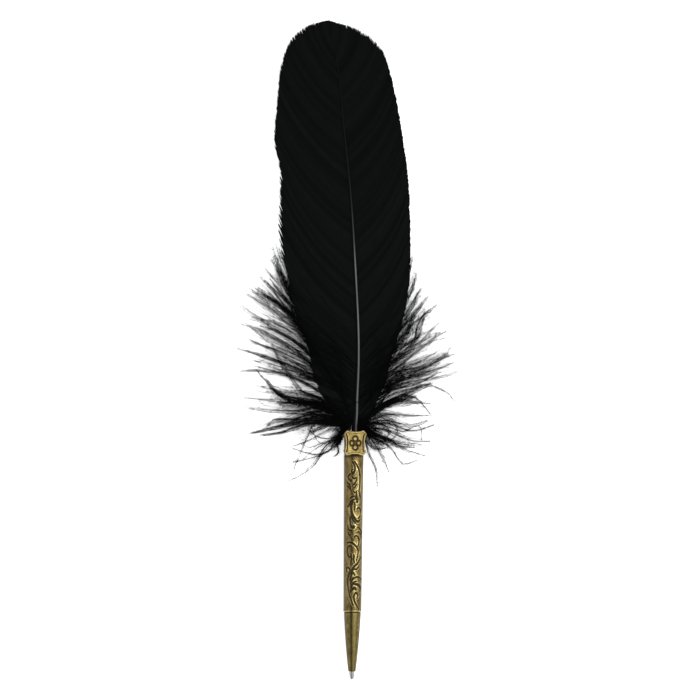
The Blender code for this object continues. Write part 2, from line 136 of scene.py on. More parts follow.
def finish(name, colour, metallic, roughness, specular=0.5):
    """A Principled material with its plain values on the shader's own sockets."""
    material = bpy.data.materials.new(name)
    material.use_nodes = True
    shader = material.node_tree.nodes["Principled BSDF"]
    shader.inputs["Base Color"].default_value = (*colour, 1)
    shader.inputs["Metallic"].default_value = metallic
    shader.inputs["Roughness"].default_value = roughness
    shader.inputs["Specular IOR Level"].default_value = specular
    return material


def clouds(material, per_metre, detail=3.0, stretch=(1, 1, 1)):
    """Noise over the piece, so many lumps to a metre, drawn out along an axis by a stretch under 1."""
    nodes, links = material.node_tree.nodes, material.node_tree.links
    place = nodes.new("ShaderNodeTexCoord")
    scaled = nodes.new("ShaderNodeMapping")
    scaled.inputs["Scale"].default_value = stretch
    noise = nodes.new("ShaderNodeTexNoise")
    noise.inputs["Scale"].default_value = per_metre
    noise.inputs["Detail"].default_value = detail
    links.new(place.outputs["Object"], scaled.inputs["Vector"])
    links.new(scaled.outputs["Vector"], noise.inputs["Vector"])
    return noise.outputs["Fac"]


def shades(material, value, *stops):
    """A colour ramp over a value: stops are (value, colour)."""
    ramp = material.node_tree.nodes.new("ShaderNodeValToRGB")
    elements = ramp.color_ramp.elements
    while len(elements) < len(stops):
        elements.new(0.5)
    for element, (position, colour) in zip(elements, stops):
        element.position = position
        element.color = (*colour, 1)
    material.node_tree.links.new(value, ramp.inputs["Fac"])
    return ramp.outputs["Color"]


def ranged(material, value, low, high, to_low, to_high):
    """Maps a value from one range to another, held at the ends."""
    node = material.node_tree.nodes.new("ShaderNodeMapRange")
    for socket, number in zip(("From Min", "From Max", "To Min", "To Max"), (low, high, to_low, to_high)):
        node.inputs[socket].default_value = number
    material.node_tree.links.new(value, node.inputs["Value"])
    return node.outputs["Result"]


def into(material, socket, value):
    shader = material.node_tree.nodes["Principled BSDF"]
    material.node_tree.links.new(value, shader.inputs[socket])


def mixed(material, share, first, second):
    """The first colour where share is 0 and the second where it is 1."""
    mix = material.node_tree.nodes.new("ShaderNodeMix")
    mix.data_type = "RGBA"
    for socket, value in ((0, share), (6, first), (7, second)):
        if isinstance(value, tuple):
            mix.inputs[socket].default_value = (*value, 1)
        else:
            material.node_tree.links.new(value, mix.inputs[socket])
    return mix.outputs[2]


def painted(material, name):
    """A value that the mesh carries, such as how deep a groove is."""
    attribute = material.node_tree.nodes.new("ShaderNodeAttribute")
    attribute.attribute_name = name
    return attribute.outputs["Fac"]


def bumpy(material, value, height):
    """Fine roughness of the surface itself, in metres."""
    bump = material.node_tree.nodes.new("ShaderNodeBump")
    bump.inputs["Distance"].default_value = height
    bump.inputs["Strength"].default_value = 1.0
    material.node_tree.links.new(value, bump.inputs["Height"])
    into(material, "Normal", bump.outputs["Normal"])


def carry(piece, name, values):
    """Puts a value on each point of a piece."""
    attribute = piece.data.attributes.new(name, "FLOAT", "POINT")
    attribute.data.foreach_set("value", np.asarray(values, np.float32).ravel())


def painted_shade_around(turn):
    """How much painted shade lies round a turned piece: on its flanks, and as a painted dark reflection in a
    streak beside its middle.
    """
    flank = np.clip((np.abs(np.sin(turn)) - FLANK_START) / (1 - FLANK_START), 0, 1) ** 1.3
    side_turn = np.arctan2(np.sin(turn), np.cos(turn))
    streak = np.exp(-((side_turn - math.radians(STREAK_TURN)) / math.radians(STREAK_HALF_TURN)) ** 2)
    return np.maximum(flank * 0.9, streak * 0.92)


steel = finish("turned_steel", STEEL, 1.0, 0.3)
tool_marks = clouds(steel, 900, stretch=(0.2, 8, 0.2))
steel_surface = shades(steel, tool_marks, (0.3, STEEL_DULL), (0.7, STEEL))
# Painted shade and a painted dark reflection mix the steel towards near-black.
into(steel, "Base Color", mixed(steel, painted(steel, "wash_and_painted_shade"), steel_surface, STEEL_PAINTED_SHADE))
into(steel, "Roughness", ranged(steel, tool_marks, 0.2, 0.8, 0.2, 0.42))

ball_turn = np.linspace(math.radians(75), 0, BALL_STEPS)
ball = [(POINT_END + BALL_RADIUS * (1 - math.cos(turn)), BALL_RADIUS * math.sin(turn)) for turn in ball_turn]
point_points, point_faces = turned([*POINT_PROFILE, *ball], POINT_SIDES)
point = body("writing_point_steel", point_points, point_faces, steel, "steel", "writing_point")

point_turn = np.linspace(0, 2 * math.pi, POINT_SIDES, endpoint=False)
# Painted shade on the point: its flanks, a streak beside its middle and the ball's tip.
point_painted_shade = [painted_shade_around(point_turn)] * (len(POINT_PROFILE) + BALL_STEPS - 2)
carry(point, "wash_and_painted_shade", np.concatenate([*point_painted_shade, [0, 0.6]]) * 0.8)

tube_brass = finish("drawn_tube_brass", INK_TUBE_BRASS, 1.0, 0.35)
draw_marks = clouds(tube_brass, 700, stretch=(1, 0.03, 1))
into(tube_brass, "Roughness", ranged(tube_brass, draw_marks, 0.2, 0.8, 0.28, 0.45))
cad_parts["ink_tube"].data.materials.clear()
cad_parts["ink_tube"].data.materials.append(tube_brass)


# The nose cone is turned from brass bar and antiqued: the dark wash stays in its pores, a painted highlight
# runs bright along its middle and painted shade darkens its flanks. It screws in the barrel by the spigot
# behind its shoulder.
CONE_START = -78.3
CONE_END = -103.8
CONE_TOP_RADIUS = 3.65
CONE_END_RADIUS = 1.63
CONE_SWELL = 0.22
CONE_SPIGOT = 6.0
CONE_SPIGOT_RADIUS = 2.7
CONE_BORE = 1.8
CONE_MOUTH = 1.32
CONE_THROAT = -96.5
CONE_STEPS = 90
CONE_SIDES = 128
CONE_HIGHLIGHT_TURN = math.radians(14)
CONE_BRIGHT = (0.262, 0.208, 0.072)
CONE_MID = (0.13, 0.098, 0.034)
CONE_DULL = (0.051, 0.037, 0.015)
# Dark wash for the hollows, also painted as shadow at the barrel's top.
DARK_WASH_AND_SHADE = (0.02, 0.011, 0.005)
# Mostly painted shade on flanks and beside the middle, and a little real thin wash on the collar's plaque.
THIN_WASH_AND_SHADE = (0.036, 0.028, 0.013)
RUST_SPOT = (0.30, 0.13, 0.035)


def antiquing_and_painted_light(piece, hollows_and_shade, rubbed_and_highlight, wash_and_painted_shade, turn):
    """Puts on each point of a brass piece how much dark wash fills it, with painted shadow; how much it is
    rubbed bright, with painted highlights; and how much painted shade, with a little thin wash, lies on it.
    Its far flanks, which no hand rubs, are matt as the grooves are."""
    carry(piece, "hollows_and_shade", hollows_and_shade)
    carry(piece, "rubbed_and_highlight", rubbed_and_highlight)
    carry(piece, "wash_and_painted_shade", wash_and_painted_shade)
    far_flank = np.clip((np.abs(np.sin(turn)) - 0.84) / 0.12, 0, 1)
    carry(piece, "matt", np.maximum(hollows_and_shade, far_flank * np.ones_like(hollows_and_shade)))


def antique_brass(name, bright, mid, dull, roughness, rubbed_and_highlight=None, filled=DARK_WASH_AND_SHADE):
    """Brass with a dark wash in its hollows, which also paints shadow; painted shade, with a little thin
    wash, on its flanks and beside its middle; and rubbed bright where it stands proud, which also paints
    highlights."""
    material = finish(name, mid, 1.0, roughness, specular=0.2)
    broad = clouds(material, 700, 4.0, stretch=(1, 0.5, 1))
    fine = clouds(material, 2600, 3.0)
    specks = clouds(material, 1500, 1.0)
    tarnish = shades(material, broad, (0.36, dull), (0.5, mid), (0.66, bright))
    grain = shades(material, fine, (0.3, dull), (0.62, bright))
    surface = mixed(material, ranged(material, specks, 0.3, 0.7, 0.25, 0.65), tarnish, grain)
    # Rubbed bright edges are real wear; on the cone and in a band on the barrel the same colour is a painted
    # highlight.
    surface = mixed(material, painted(material, "rubbed_and_highlight"), surface, rubbed_and_highlight or bright)
    # Painted shade, with a little thin wash on the collar's plaque.
    surface = mixed(material, painted(material, "wash_and_painted_shade"), surface, THIN_WASH_AND_SHADE)
    rust = ranged(material, clouds(material, 600, 5.0), 0.66, 0.74, 0.0, 0.6)
    surface = mixed(material, rust, surface, RUST_SPOT)
    # Dark wash in the hollows, and painted shadow where the mesh carries it.
    surface = mixed(material, painted(material, "hollows_and_shade"), surface, filled)
    into(material, "Base Color", surface)
    into(material, "Metallic", ranged(material, painted(material, "matt"), 0.0, 1.0, 1.0, 0.2))
    into(material, "Roughness", ranged(material, fine, 0.25, 0.75, roughness - 0.1, roughness + 0.14))
    bumpy(material, fine, 0.00006)
    return material


cone_brass = antique_brass("cone_brass", CONE_BRIGHT, CONE_MID, CONE_DULL, 0.32)
cone_profile = [(CONE_START + CONE_SPIGOT, CONE_BORE), (CONE_START + CONE_SPIGOT, CONE_SPIGOT_RADIUS - 0.2),
                (CONE_START + CONE_SPIGOT - 0.2, CONE_SPIGOT_RADIUS), (CONE_START + 0.02, CONE_SPIGOT_RADIUS),
                (CONE_START, CONE_SPIGOT_RADIUS), (CONE_START, CONE_TOP_RADIUS - 0.25),
                (CONE_START - 0.1, CONE_TOP_RADIUS - 0.08)]
for share in np.linspace(0, 1, CONE_STEPS):
    cone_place = CONE_START - 0.3 + share * (CONE_END + 0.55 - CONE_START)
    cone_swell = CONE_SWELL * 4 * share * (1 - share)
    cone_radius = CONE_TOP_RADIUS + share * (CONE_END_RADIUS - CONE_TOP_RADIUS)
    cone_profile.append((cone_place, cone_radius + cone_swell))
cone_profile += [(CONE_END + 0.1, CONE_END_RADIUS - 0.08), (CONE_END, CONE_END_RADIUS - 0.2),
                 (CONE_END, CONE_MOUTH), (CONE_THROAT - 0.5, CONE_MOUTH), (CONE_THROAT, CONE_BORE)]
cone_points, cone_faces = turned(cone_profile, CONE_SIDES, hollow=True)
cone = body("nose_cone_brass", cone_points, cone_faces, cone_brass, "cone_brass", "nose_cone")
cone_turn = np.linspace(0, 2 * math.pi, CONE_SIDES, endpoint=False)
cone_rows = np.array(cone_profile)[:, 0]
near_shoulder = np.clip(1 - np.abs(cone_rows - CONE_START) / 0.35, 0, 1)
cone_groove = near_shoulder[:, None] * np.ones((1, CONE_SIDES)) * 0.9
# A painted highlight: a narrow bright streak just right of the cone's middle, in its bright brass colour.
cone_painted_highlight = 0.75 * np.clip(np.cos(cone_turn - CONE_HIGHLIGHT_TURN), 0, 1) ** 26
all_rows = np.ones((len(cone_rows), 1))
antiquing_and_painted_light(cone, cone_groove, cone_painted_highlight * all_rows, painted_shade_around(cone_turn) * all_rows, cone_turn)


# The barrel is a drawn brass tube, pressed on the collar's spigot, with leaf scrolls engraved down its
# front and its back. The cuts are filled with dark wash, their edges stand proud and are rubbed bright,
# most of all in a painted highlight band just right of the middle. Painted shade darkens its flanks and
# a streak beside its middle, and painted shadow darkens its top under the collar.
BARREL_START = -11.2
BARREL_END = -78.0
BARREL_TOP_RADIUS = 4.24
BARREL_END_RADIUS = 3.87
BARREL_BORE = 3.0
BARREL_LIP = 0.7
BARREL_LIP_PROUD = 0.04
BARREL_SIDES = 160
BARREL_ROWS = 400
CUT_DEPTH = 0.32
CUT_EDGE_PROUD = 0.11
CUT_SPREAD = 1.22
SCROLL_DRIFT = 0.4
BARREL_RISE = 0.22
# Bright brass for the rubbed cut edges, most of it painted as a highlight band right of the middle.
BARREL_RUBBED_AND_HIGHLIGHT = (0.57, 0.475, 0.19)
BARREL_BRIGHT = (0.262, 0.196, 0.066)
BARREL_MID = (0.139, 0.097, 0.033)
BARREL_DULL = (0.056, 0.038, 0.015)
# Each cut is its half width and its points: across the front from its middle line, and down from the top.
SCROLLS = (
    (0.27, (-1.1, 2.3), (-0.4, 3.3), (0, 4.5), (0.1, 5.8), (-0.7, 7.4), (-1.4, 6.6), (-1.2, 5.6)),
    (0.30, (-0.2, 2.2), (0.6, 3.3), (1.4, 4.7), (2, 6.1), (2.6, 9.4), (2.5, 12.7), (2.2, 15.3),
     (2.9, 17.7), (3.6, 15.8)),
    (0.28, (-1.7, 7.4), (-2.8, 8.4), (-2.8, 9.4), (-1.5, 10.7)),
    (0.22, (-1, 8.9), (-0.1, 9.5), (1, 8.9)),
    (0.22, (0, 11.4), (0.5, 10.9), (1.2, 9.4)),
    (0.22, (-0.7, 12.2), (0.1, 11.8), (0.7, 10.9)),
    (0.22, (-0.4, 13.7), (0.4, 12.9), (1.2, 11.8)),
    (0.25, (-3.4, 11.2), (-2.3, 12.2), (-1.6, 13.5)),
    (0.25, (-3.5, 12.6), (-2.5, 13.4), (-1.6, 14)),
    (0.22, (-0.4, 14.9), (0.1, 15.5), (0.8, 15.3), (1.1, 14.7)),
    (0.24, (1, 15), (0.8, 16.7), (0.5, 17.7), (1.2, 19), (1.4, 19.6)),
    (0.22, (1.1, 16.2), (1.2, 17.7), (1.7, 18.8)),
    (0.24, (-1.9, 18), (-0.9, 17.3), (0.1, 17)),
    (0.24, (-1.3, 19), (-0.3, 18.6), (0.5, 18.1)),
    (0.28, (-3.1, 21.7), (-2.3, 21.1), (-1.7, 19.6), (-0.8, 18.8)),
    (0.40, (-0.7, 19.5), (-1.5, 21.4), (-1.4, 23.4), (-1, 25), (0.2, 26.6), (0.9, 27.6), (1.9, 28),
     (2.7, 27.4)),
    (0.24, (0.1, 19.6), (0.3, 20.9), (0.2, 23.1)),
    (0.28, (1.2, 23), (1.6, 22.1), (2.4, 22.1), (3, 23.1), (3.1, 24.7), (2.8, 25.8), (1.8, 26.6)),
    (0.30, (-1.4, 25.7), (-1.8, 26.8), (-1.8, 28.5), (-1.4, 29.9), (-0.5, 30.8)),
    (0.24, (-1.1, 26), (-0.3, 27.6), (0.9, 28.8)),
    (0.25, (-2.9, 29.6), (-2.7, 30.9), (-1.9, 31.7), (-0.7, 31.9)),
    (0.25, (-2.8, 32.2), (-2.2, 33.4), (-1.3, 34.2)),
    (0.25, (1.7, 30.3), (2.8, 31.1), (4, 32.6), (4.1, 34.2)),
    (0.25, (1.4, 32.6), (2.1, 32.4), (3.2, 33.2), (4.1, 34.7)),
    (0.27, (0.2, 34.7), (0.8, 34.1), (1.8, 34.5), (2.5, 35.9), (2.4, 37.2), (1.9, 38.7)),
    (0.28, (-2.9, 37.2), (-1.8, 36.8), (-0.5, 37.2), (0.4, 38), (1.5, 39.2), (2.2, 41), (1.7, 43.3),
     (1.4, 44.9)),
    (0.28, (-0.9, 38.5), (-2.1, 38.5), (-2.9, 39.5), (-2.8, 41), (-2.5, 42.5), (-1.7, 43.3),
     (-1.1, 42.8), (-1.1, 41.8)),
    (0.25, (-0.1, 41.9), (0.3, 42.9), (0.1, 44.4), (0.5, 45.7)),
    (0.32, (4, 43.2), (2.6, 44.9), (1.6, 46.2), (0.5, 47.2), (-0.3, 48.6), (-0.8, 50.4), (-1.2, 52.4),
     (-1.5, 53.2)),
    (0.25, (-1, 42.8), (-1, 44.9), (-1.2, 46.1)),
    (0.25, (2.6, 47.4), (1.8, 48), (1.2, 48.6), (0.5, 48.3), (-0.1, 48.5)),
    (0.30, (-3.2, 49.5), (-3.3, 48.1), (-2.5, 47.7), (-1.7, 48.3), (-1.6, 49.6), (-2.1, 51.4),
     (-2.5, 53.1), (-2.4, 56), (-1.7, 59.2), (-1, 61.1), (-0.3, 63), (0.2, 63.9)),
    (0.27, (-1.1, 54.9), (-0.9, 53.7), (-0.1, 52.6), (0.9, 52), (2.3, 51.8), (3.9, 52.6), (4.7, 53.1)),
    (0.25, (-1, 56.5), (-0.5, 55.4), (0.1, 54.2), (1, 53.7), (1.7, 53.5)),
    (0.38, (0.3, 54.7), (1.5, 54.9), (2.8, 55.6), (3.7, 56.7), (3.4, 58)),
    (0.38, (-1.1, 58.3), (-0.7, 57.4), (0.1, 56.7), (0.8, 56.5), (1.3, 57.2)),
    (0.28, (1.8, 60.8), (2.2, 59.8), (1.8, 58.8), (1.2, 58.5), (0.6, 59.5), (0.4, 60.7), (0.7, 62.1),
     (1.5, 63.8), (3, 65.8)),
)
# Round punch marks: half width, across and down.
PUNCHES = ((0.42, -1.6, 10.4), (0.42, 1.3, 19.5), (0.45, -0.2, 30.3), (0.34, 0.1, 50.1),
           (0.3, 0.6, 50.8), (0.3, -1.2, 5.6))


def read_off(table, keys, places):
    """Each column of a table at the places given, straight between its keys."""
    return [np.interp(places, keys, column) for column in np.array(table, float).T]


def flowing(points, count):
    """Points evenly spaced along a smooth curve through the given ones."""
    keys = np.array(points, float)
    ends = np.vstack([2 * keys[0] - keys[1], keys, 2 * keys[-1] - keys[-2]])
    step = np.linspace(0, 1, 12, endpoint=False)[:, None]
    curve = [0.5 * (2 * b + (c - a) * step + (2 * a - 5 * b + 4 * c - d) * step**2
                    + (3 * b - a - 3 * c + d) * step**3)
             for a, b, c, d in zip(ends, ends[1:], ends[2:], ends[3:])]
    curve = np.vstack([*curve, keys[-1:]])
    run = np.concatenate([[0], np.cumsum(np.linalg.norm(np.diff(curve, axis=0), axis=1))])
    return np.stack(read_off(curve, run, np.linspace(0, run[-1], count)), axis=1)


def engraved(places, cuts):
    """How deep each place is cut (0 to 1) and how much it lies on the edge of a cut (0 to 1).
    Places and cuts are in mm; a cut is its half width and its points."""
    depth, edge = np.zeros(len(places)), np.zeros(len(places))
    for half_width, *points in cuts:
        line = flowing(points, 60) if len(points) > 1 else np.array(points, float)
        low, high = line.min(0) - 3 * half_width, line.max(0) + 3 * half_width
        near = np.flatnonzero(((places > low) & (places < high)).all(1))
        if not len(near):
            continue
        away = np.linalg.norm(places[near, None] - line[None], axis=2)
        taper = np.ones(1)
        if len(line) > 1:
            taper = 0.55 + 0.45 * np.sin(np.linspace(0.12, 0.9, len(line)) * math.pi)
        away = (away / (half_width * taper)).min(1)
        depth[near] = np.maximum(depth[near], np.exp(-away**3 * 0.9))
        edge[near] = np.maximum(edge[near], np.exp(-((away - 1.9) / 0.6) ** 2))
    return depth, edge * (1 - depth)


barrel_brass = antique_brass("engraved_brass", BARREL_BRIGHT, BARREL_MID, BARREL_DULL, 0.28, BARREL_RUBBED_AND_HIGHLIGHT)
barrel_rows = np.linspace(-BARREL_RISE, BARREL_START - BARREL_END, BARREL_ROWS)
barrel_turn = np.linspace(0, 2 * math.pi, BARREL_SIDES, endpoint=False)
barrel_radius = BARREL_TOP_RADIUS + (BARREL_END_RADIUS - BARREL_TOP_RADIUS) * barrel_rows / barrel_rows[-1]
from_end = np.minimum(barrel_rows - barrel_rows[0], barrel_rows[-1] - barrel_rows)
lip = barrel_rows > barrel_rows[-1] - BARREL_LIP
barrel_radius = barrel_radius + BARREL_LIP_PROUD * lip - 0.1 * np.clip(1 - from_end / 0.25, 0, 1) ** 2
half_turn = (barrel_turn + math.pi / 2) % math.pi - math.pi / 2
barrel_drift = SCROLL_DRIFT * (barrel_rows / barrel_rows[-1])
barrel_across = half_turn[None, :] * barrel_radius[:, None] + barrel_drift[:, None]
barrel_down = barrel_rows[:, None] * np.ones((1, BARREL_SIDES))
barrel_places = np.stack([barrel_across, barrel_down], axis=-1).reshape(-1, 2)
round_cuts = [(width, (across, below)) for width, across, below in PUNCHES]
barrel_cuts = [(width * CUT_SPREAD, *points) for width, *points in [*SCROLLS, *round_cuts]]
cut_depth, cut_edge = np.reshape(engraved(barrel_places, barrel_cuts), (2, BARREL_ROWS, BARREL_SIDES))
barrel_profile = [(BARREL_START - row, radius) for row, radius in zip(barrel_rows, barrel_radius)]
barrel_profile += [(BARREL_END, BARREL_BORE), (BARREL_START + BARREL_RISE, BARREL_BORE)]
bore_rows = np.zeros((2, BARREL_SIDES))
barrel_relief = np.vstack([CUT_EDGE_PROUD * cut_edge - CUT_DEPTH * cut_depth, bore_rows])
barrel_points, barrel_faces = turned(barrel_profile, BARREL_SIDES, barrel_relief, hollow=True)
barrel = body("engraved_barrel", barrel_points, barrel_faces, barrel_brass, "barrel_brass", "barrel")
lip_groove = np.clip(1 - np.abs(barrel_rows - (barrel_rows[-1] - BARREL_LIP)) / 0.3, 0, 1)
# Painted shadow at the barrel's top, under the collar's plaque; the dark ring at the lip is a real joint.
top_shade = np.clip(1 - barrel_rows / 1.0, 0, 1) * 0.8
ring_dark = np.maximum(lip_groove * 0.6, top_shade)[:, None] * np.ones((1, BARREL_SIDES))
barrel_hollows_and_shade = np.vstack([np.maximum(np.clip(cut_depth * 1.25, 0, 1), ring_dark), bore_rows])
# The cut edges are rubbed bright as wear, and held to a band just right of the middle as a painted highlight.
worn_and_highlight_band = 0.15 + 0.85 * np.exp(-((np.arctan2(np.sin(barrel_turn), np.cos(barrel_turn)) - 0.16) / 0.38) ** 2)
barrel_rubbed_and_highlight = np.vstack([np.clip(cut_edge * worn_and_highlight_band * 0.95 + 0.6 * lip[:, None], 0, 1), bore_rows])
# Painted shade on the barrel's flanks and in a dark streak beside its middle, less on the cut edges.
barrel_painted_shade = np.vstack([painted_shade_around(barrel_turn)[None, :] * (1 - 0.55 * cut_edge), bore_rows])
antiquing_and_painted_light(barrel, barrel_hollows_and_shade, barrel_rubbed_and_highlight, barrel_painted_shade, barrel_turn)


# The collar is one brass casting: a round body with a bead near its foot, a spigot pressed in the
# barrel, a socket for the quill, a shaped plaque in front, chased by hand, and a plain pad behind.
COLLAR_LENGTH = 10.9
COLLAR_TOP_INSET = 0.7
COLLAR_RADIUS = 4.13
BEAD_PLACE = 9.0
BEAD_HALF_HEIGHT = 0.6
BEAD_RADIUS = 4.47
SOCKET_DEPTH = 7.5
SOCKET_RADIUS = 1.65
SPIGOT_LENGTH = 5.0
SPIGOT_RADIUS = 2.7
COLLAR_SIDES = 144
PLAQUE_BACK = 3.3
PLAQUE_FACE = 4.9
PLAQUE_OUTLINE = ((0, 0.55), (1.9, 0.42), (3.2, 0.1), (3.65, 0.0), (4.1, 0.5), (4.86, 1.65), (4.35, 3.6),
                  (4.1, 5.7), (4.25, 7.8), (4.7, 9.2), (4.3, 10.0), (3.3, 10.9), (1.7, 10.4), (0, 10.25))
BACK_PAD_SHARE = 0.74
PLAQUE_STEPS = 46
PLAQUE_EDGE_POINTS = 132
PLAQUE_RIM = 0.62
PLAQUE_FIELD_DEPTH = 0.16
PLAQUE_CUT_DEPTH = 0.3
PLAQUE_CORNER = 0.28
PLAQUE_CORNER_DROP = 0.24
CAST_PITS = 0.012
PLAQUE_MIDDLE = (0, 5.5)
BORDER_CUT = ((3.98, 1.5), (3.6, 2.6), (3.42, 3.9), (3.36, 5.4), (3.42, 7.2), (3.5, 8.4), (3.85, 9.3))
PETAL_REACH = (2.35, 2.95)
PETAL_HALF_WIDTH = 1.12
COLLAR_BRIGHT = (0.385, 0.305, 0.108)
COLLAR_MID = (0.245, 0.187, 0.065)
COLLAR_DULL = (0.125, 0.082, 0.03)
# Brown wash for the plaque's sunk field, also painted as shade over the collar's round body.
BROWN_WASH_AND_SHADE = (0.034, 0.013, 0.006)


def petal(reach_across, reach_down):
    """One leaf of the four-leaved flower on the plaque: a pointed loop from its middle and back."""
    middle = np.array(PLAQUE_MIDDLE)
    reach = np.array((reach_across, reach_down), float)
    side = np.array((-reach[1], reach[0])) / np.linalg.norm(reach) * PETAL_HALF_WIDTH
    steps = ((0.2, 0.0), (0.45, 0.75), (0.72, 1.0), (0.93, 0.55), (1.0, 0.0))
    there = [tuple(middle + reach * along + side * out) for along, out in steps]
    back = [tuple(middle + reach * along - side * out) for along, out in reversed(steps[:-1])]
    return [*there, *back]


def plaque(side):
    """A closed block. The plaque in front (side 1) has its rim, sunk field and cuts. The pad behind (side -1)
    is plain and narrower than the body."""
    width = 1 if side > 0 else BACK_PAD_SHARE
    right = [(x * width, y) for x, y in PLAQUE_OUTLINE]
    left = [(-x, y) for x, y in reversed(right[1:-1])]
    outline = flowing([*right, *left, right[0]], PLAQUE_EDGE_POINTS + 1)[:-1]
    middle = np.array(PLAQUE_MIDDLE)
    shares = 1 - (1 - np.linspace(0, 1, PLAQUE_STEPS + 1)[1:]) ** 1.25
    places = middle + shares[:, None, None] * (outline - middle)
    flat = places.reshape(-1, 2)
    inward = np.linalg.norm(flat[:, None] - outline[None], axis=2).min(1)
    wide, tall = PETAL_REACH
    petals = [(0.3, *petal(*reach)) for reach in ((0, tall), (0, -tall), (wide, 0), (-wide, 0))]
    borders = [(0.26, *((hand * x, y) for x, y in BORDER_CUT)) for hand in (1, -1)]
    depth, edge = engraved(flat, [*petals, *borders])
    field = np.clip((inward - PLAQUE_RIM) / 0.25, 0, 1)
    rounding = np.clip(1 - inward / PLAQUE_CORNER, 0, 1) ** 2 * PLAQUE_CORNER_DROP
    pits = np.random.default_rng(5).normal(0, CAST_PITS, len(flat))
    height = PLAQUE_FACE - rounding
    centre_height = PLAQUE_FACE
    if side > 0:
        height += 0.04 * edge * field + pits - PLAQUE_FIELD_DEPTH * field - PLAQUE_CUT_DEPTH * depth
        centre_height -= PLAQUE_FIELD_DEPTH
    front = np.column_stack([flat[:, 0], -flat[:, 1], height])
    back = np.column_stack([outline[:, 0], -outline[:, 1], np.full(len(outline), PLAQUE_BACK)])
    points = np.vstack([front, back, (middle[0], -middle[1], centre_height)])
    points[:, 0] *= side
    points[:, 2] *= side
    rings = np.arange(PLAQUE_STEPS * PLAQUE_EDGE_POINTS).reshape(PLAQUE_STEPS, -1)
    rings = np.vstack([rings, rings[-1] + PLAQUE_EDGE_POINTS])
    cap = [[len(points) - 1, a, b] for a, b in zip(rings[0], np.roll(rings[0], -1))]
    return points * MM + np.array(PEN_AXIS), bands(rings).tolist() + cap + [rings[-1][::-1].tolist()]


def joined(piece, tool):
    """Unites a piece with a closed tool in one casting."""
    modifier = piece.modifiers.new("union", "BOOLEAN")
    modifier.operation = "UNION"
    modifier.solver = "MANIFOLD"
    modifier.object = tool
    depsgraph = bpy.context.evaluated_depsgraph_get()
    united = bpy.data.meshes.new_from_object(piece.evaluated_get(depsgraph))
    piece.modifiers.clear()
    piece.data = united
    bpy.data.objects.remove(tool)


collar_brass = antique_brass("cast_brass", COLLAR_BRIGHT, COLLAR_MID, COLLAR_DULL, 0.34, filled=BROWN_WASH_AND_SHADE)
bead_proud = BEAD_RADIUS - COLLAR_RADIUS
bead = [(BEAD_HALF_HEIGHT * math.cos(turn) - BEAD_PLACE, COLLAR_RADIUS + bead_proud * math.sin(turn))
        for turn in np.linspace(0, math.pi, 9)]
collar_profile = [(-SOCKET_DEPTH, 0), (-SOCKET_DEPTH, SOCKET_RADIUS), (-COLLAR_TOP_INSET, SOCKET_RADIUS),
                  (-COLLAR_TOP_INSET, COLLAR_RADIUS - 0.3), (-COLLAR_TOP_INSET - 0.1, COLLAR_RADIUS - 0.08),
                  (-COLLAR_TOP_INSET - 0.3, COLLAR_RADIUS), *bead, (-COLLAR_LENGTH + 0.1, COLLAR_RADIUS),
                  (-COLLAR_LENGTH, COLLAR_RADIUS - 0.1), (-COLLAR_LENGTH, SPIGOT_RADIUS),
                  (-COLLAR_LENGTH - SPIGOT_LENGTH, SPIGOT_RADIUS), (-COLLAR_LENGTH - SPIGOT_LENGTH, 0)]
collar_points, collar_faces = turned(collar_profile, COLLAR_SIDES)
collar = body("collar_casting", collar_points, collar_faces, collar_brass, "collar_brass", "collar")
for side in (1, -1):
    plaque_points, plaque_faces = plaque(side)
    block = body("plaque_block", plaque_points, plaque_faces, collar_brass, "collar_brass")
    joined(collar, block)
collar.data.set_sharp_from_angle(angle=math.radians(50))
collar_co = np.zeros(len(collar.data.vertices) * 3)
collar.data.vertices.foreach_get("co", collar_co)
collar_co = (collar_co.reshape(-1, 3) - np.array(PEN_AXIS)) / MM
on_face = np.abs(collar_co[:, 2]) > PLAQUE_BACK + 0.4
face_height = PLAQUE_FACE - np.abs(collar_co[:, 2])
on_field = on_face & (np.abs(collar_co[:, 0]) < 4.1)
# Off the plaque's field the collar's body is darkened as painted shade, by the brown wash and by painted
# shade on its flanks; the plaque's face has a little real thin wash.
collar_hollows_and_shade = np.where(on_field, np.clip((face_height - 0.19) / 0.16, 0, 1), 0.35)
collar_rubbed = np.where(on_face, np.clip(1 - face_height / 0.1, 0, 1) * 0.8, 0.0)
collar_turn = np.arctan2(collar_co[:, 0], collar_co[:, 2])
collar_wash_and_shade = np.where(on_face, 0.12, np.maximum(painted_shade_around(collar_turn), 0.35))
antiquing_and_painted_light(collar, collar_hollows_and_shade, collar_rubbed, collar_wash_and_shade, np.where(on_face, 0.0, collar_turn))


# The shaft is the feather's own quill: a round hollow root in the socket, then a solid ridge that
# thins to nothing at the tip. A pale stripe runs along its top, partly keratin the dye has left pale and
# partly a painted sheen on its lit side, and black barbs hide its sides.
FEATHER_LEAN = math.radians(0.48)
SHAFT = ((-6.5, 0, 4.9, 1.3), (0, 0.2, 4.9, 1.25), (12.6, 0.9, 5.4, 1.1), (38, 1.7, 6.6, 0.95),
         (72, 0.1, 7.6, 0.8), (102.6, -1.9, 7.4, 0.65), (130, -4.6, 6.2, 0.5), (150.6, -6.3, 4.7, 0.38),
         (162, -7.9, 3.7, 0.3), (175, -10.7, 2.6, 0.12))
SHAFT_ROWS = 260
SHAFT_SIDES = 48
SHAFT_RIDGE = 0.12
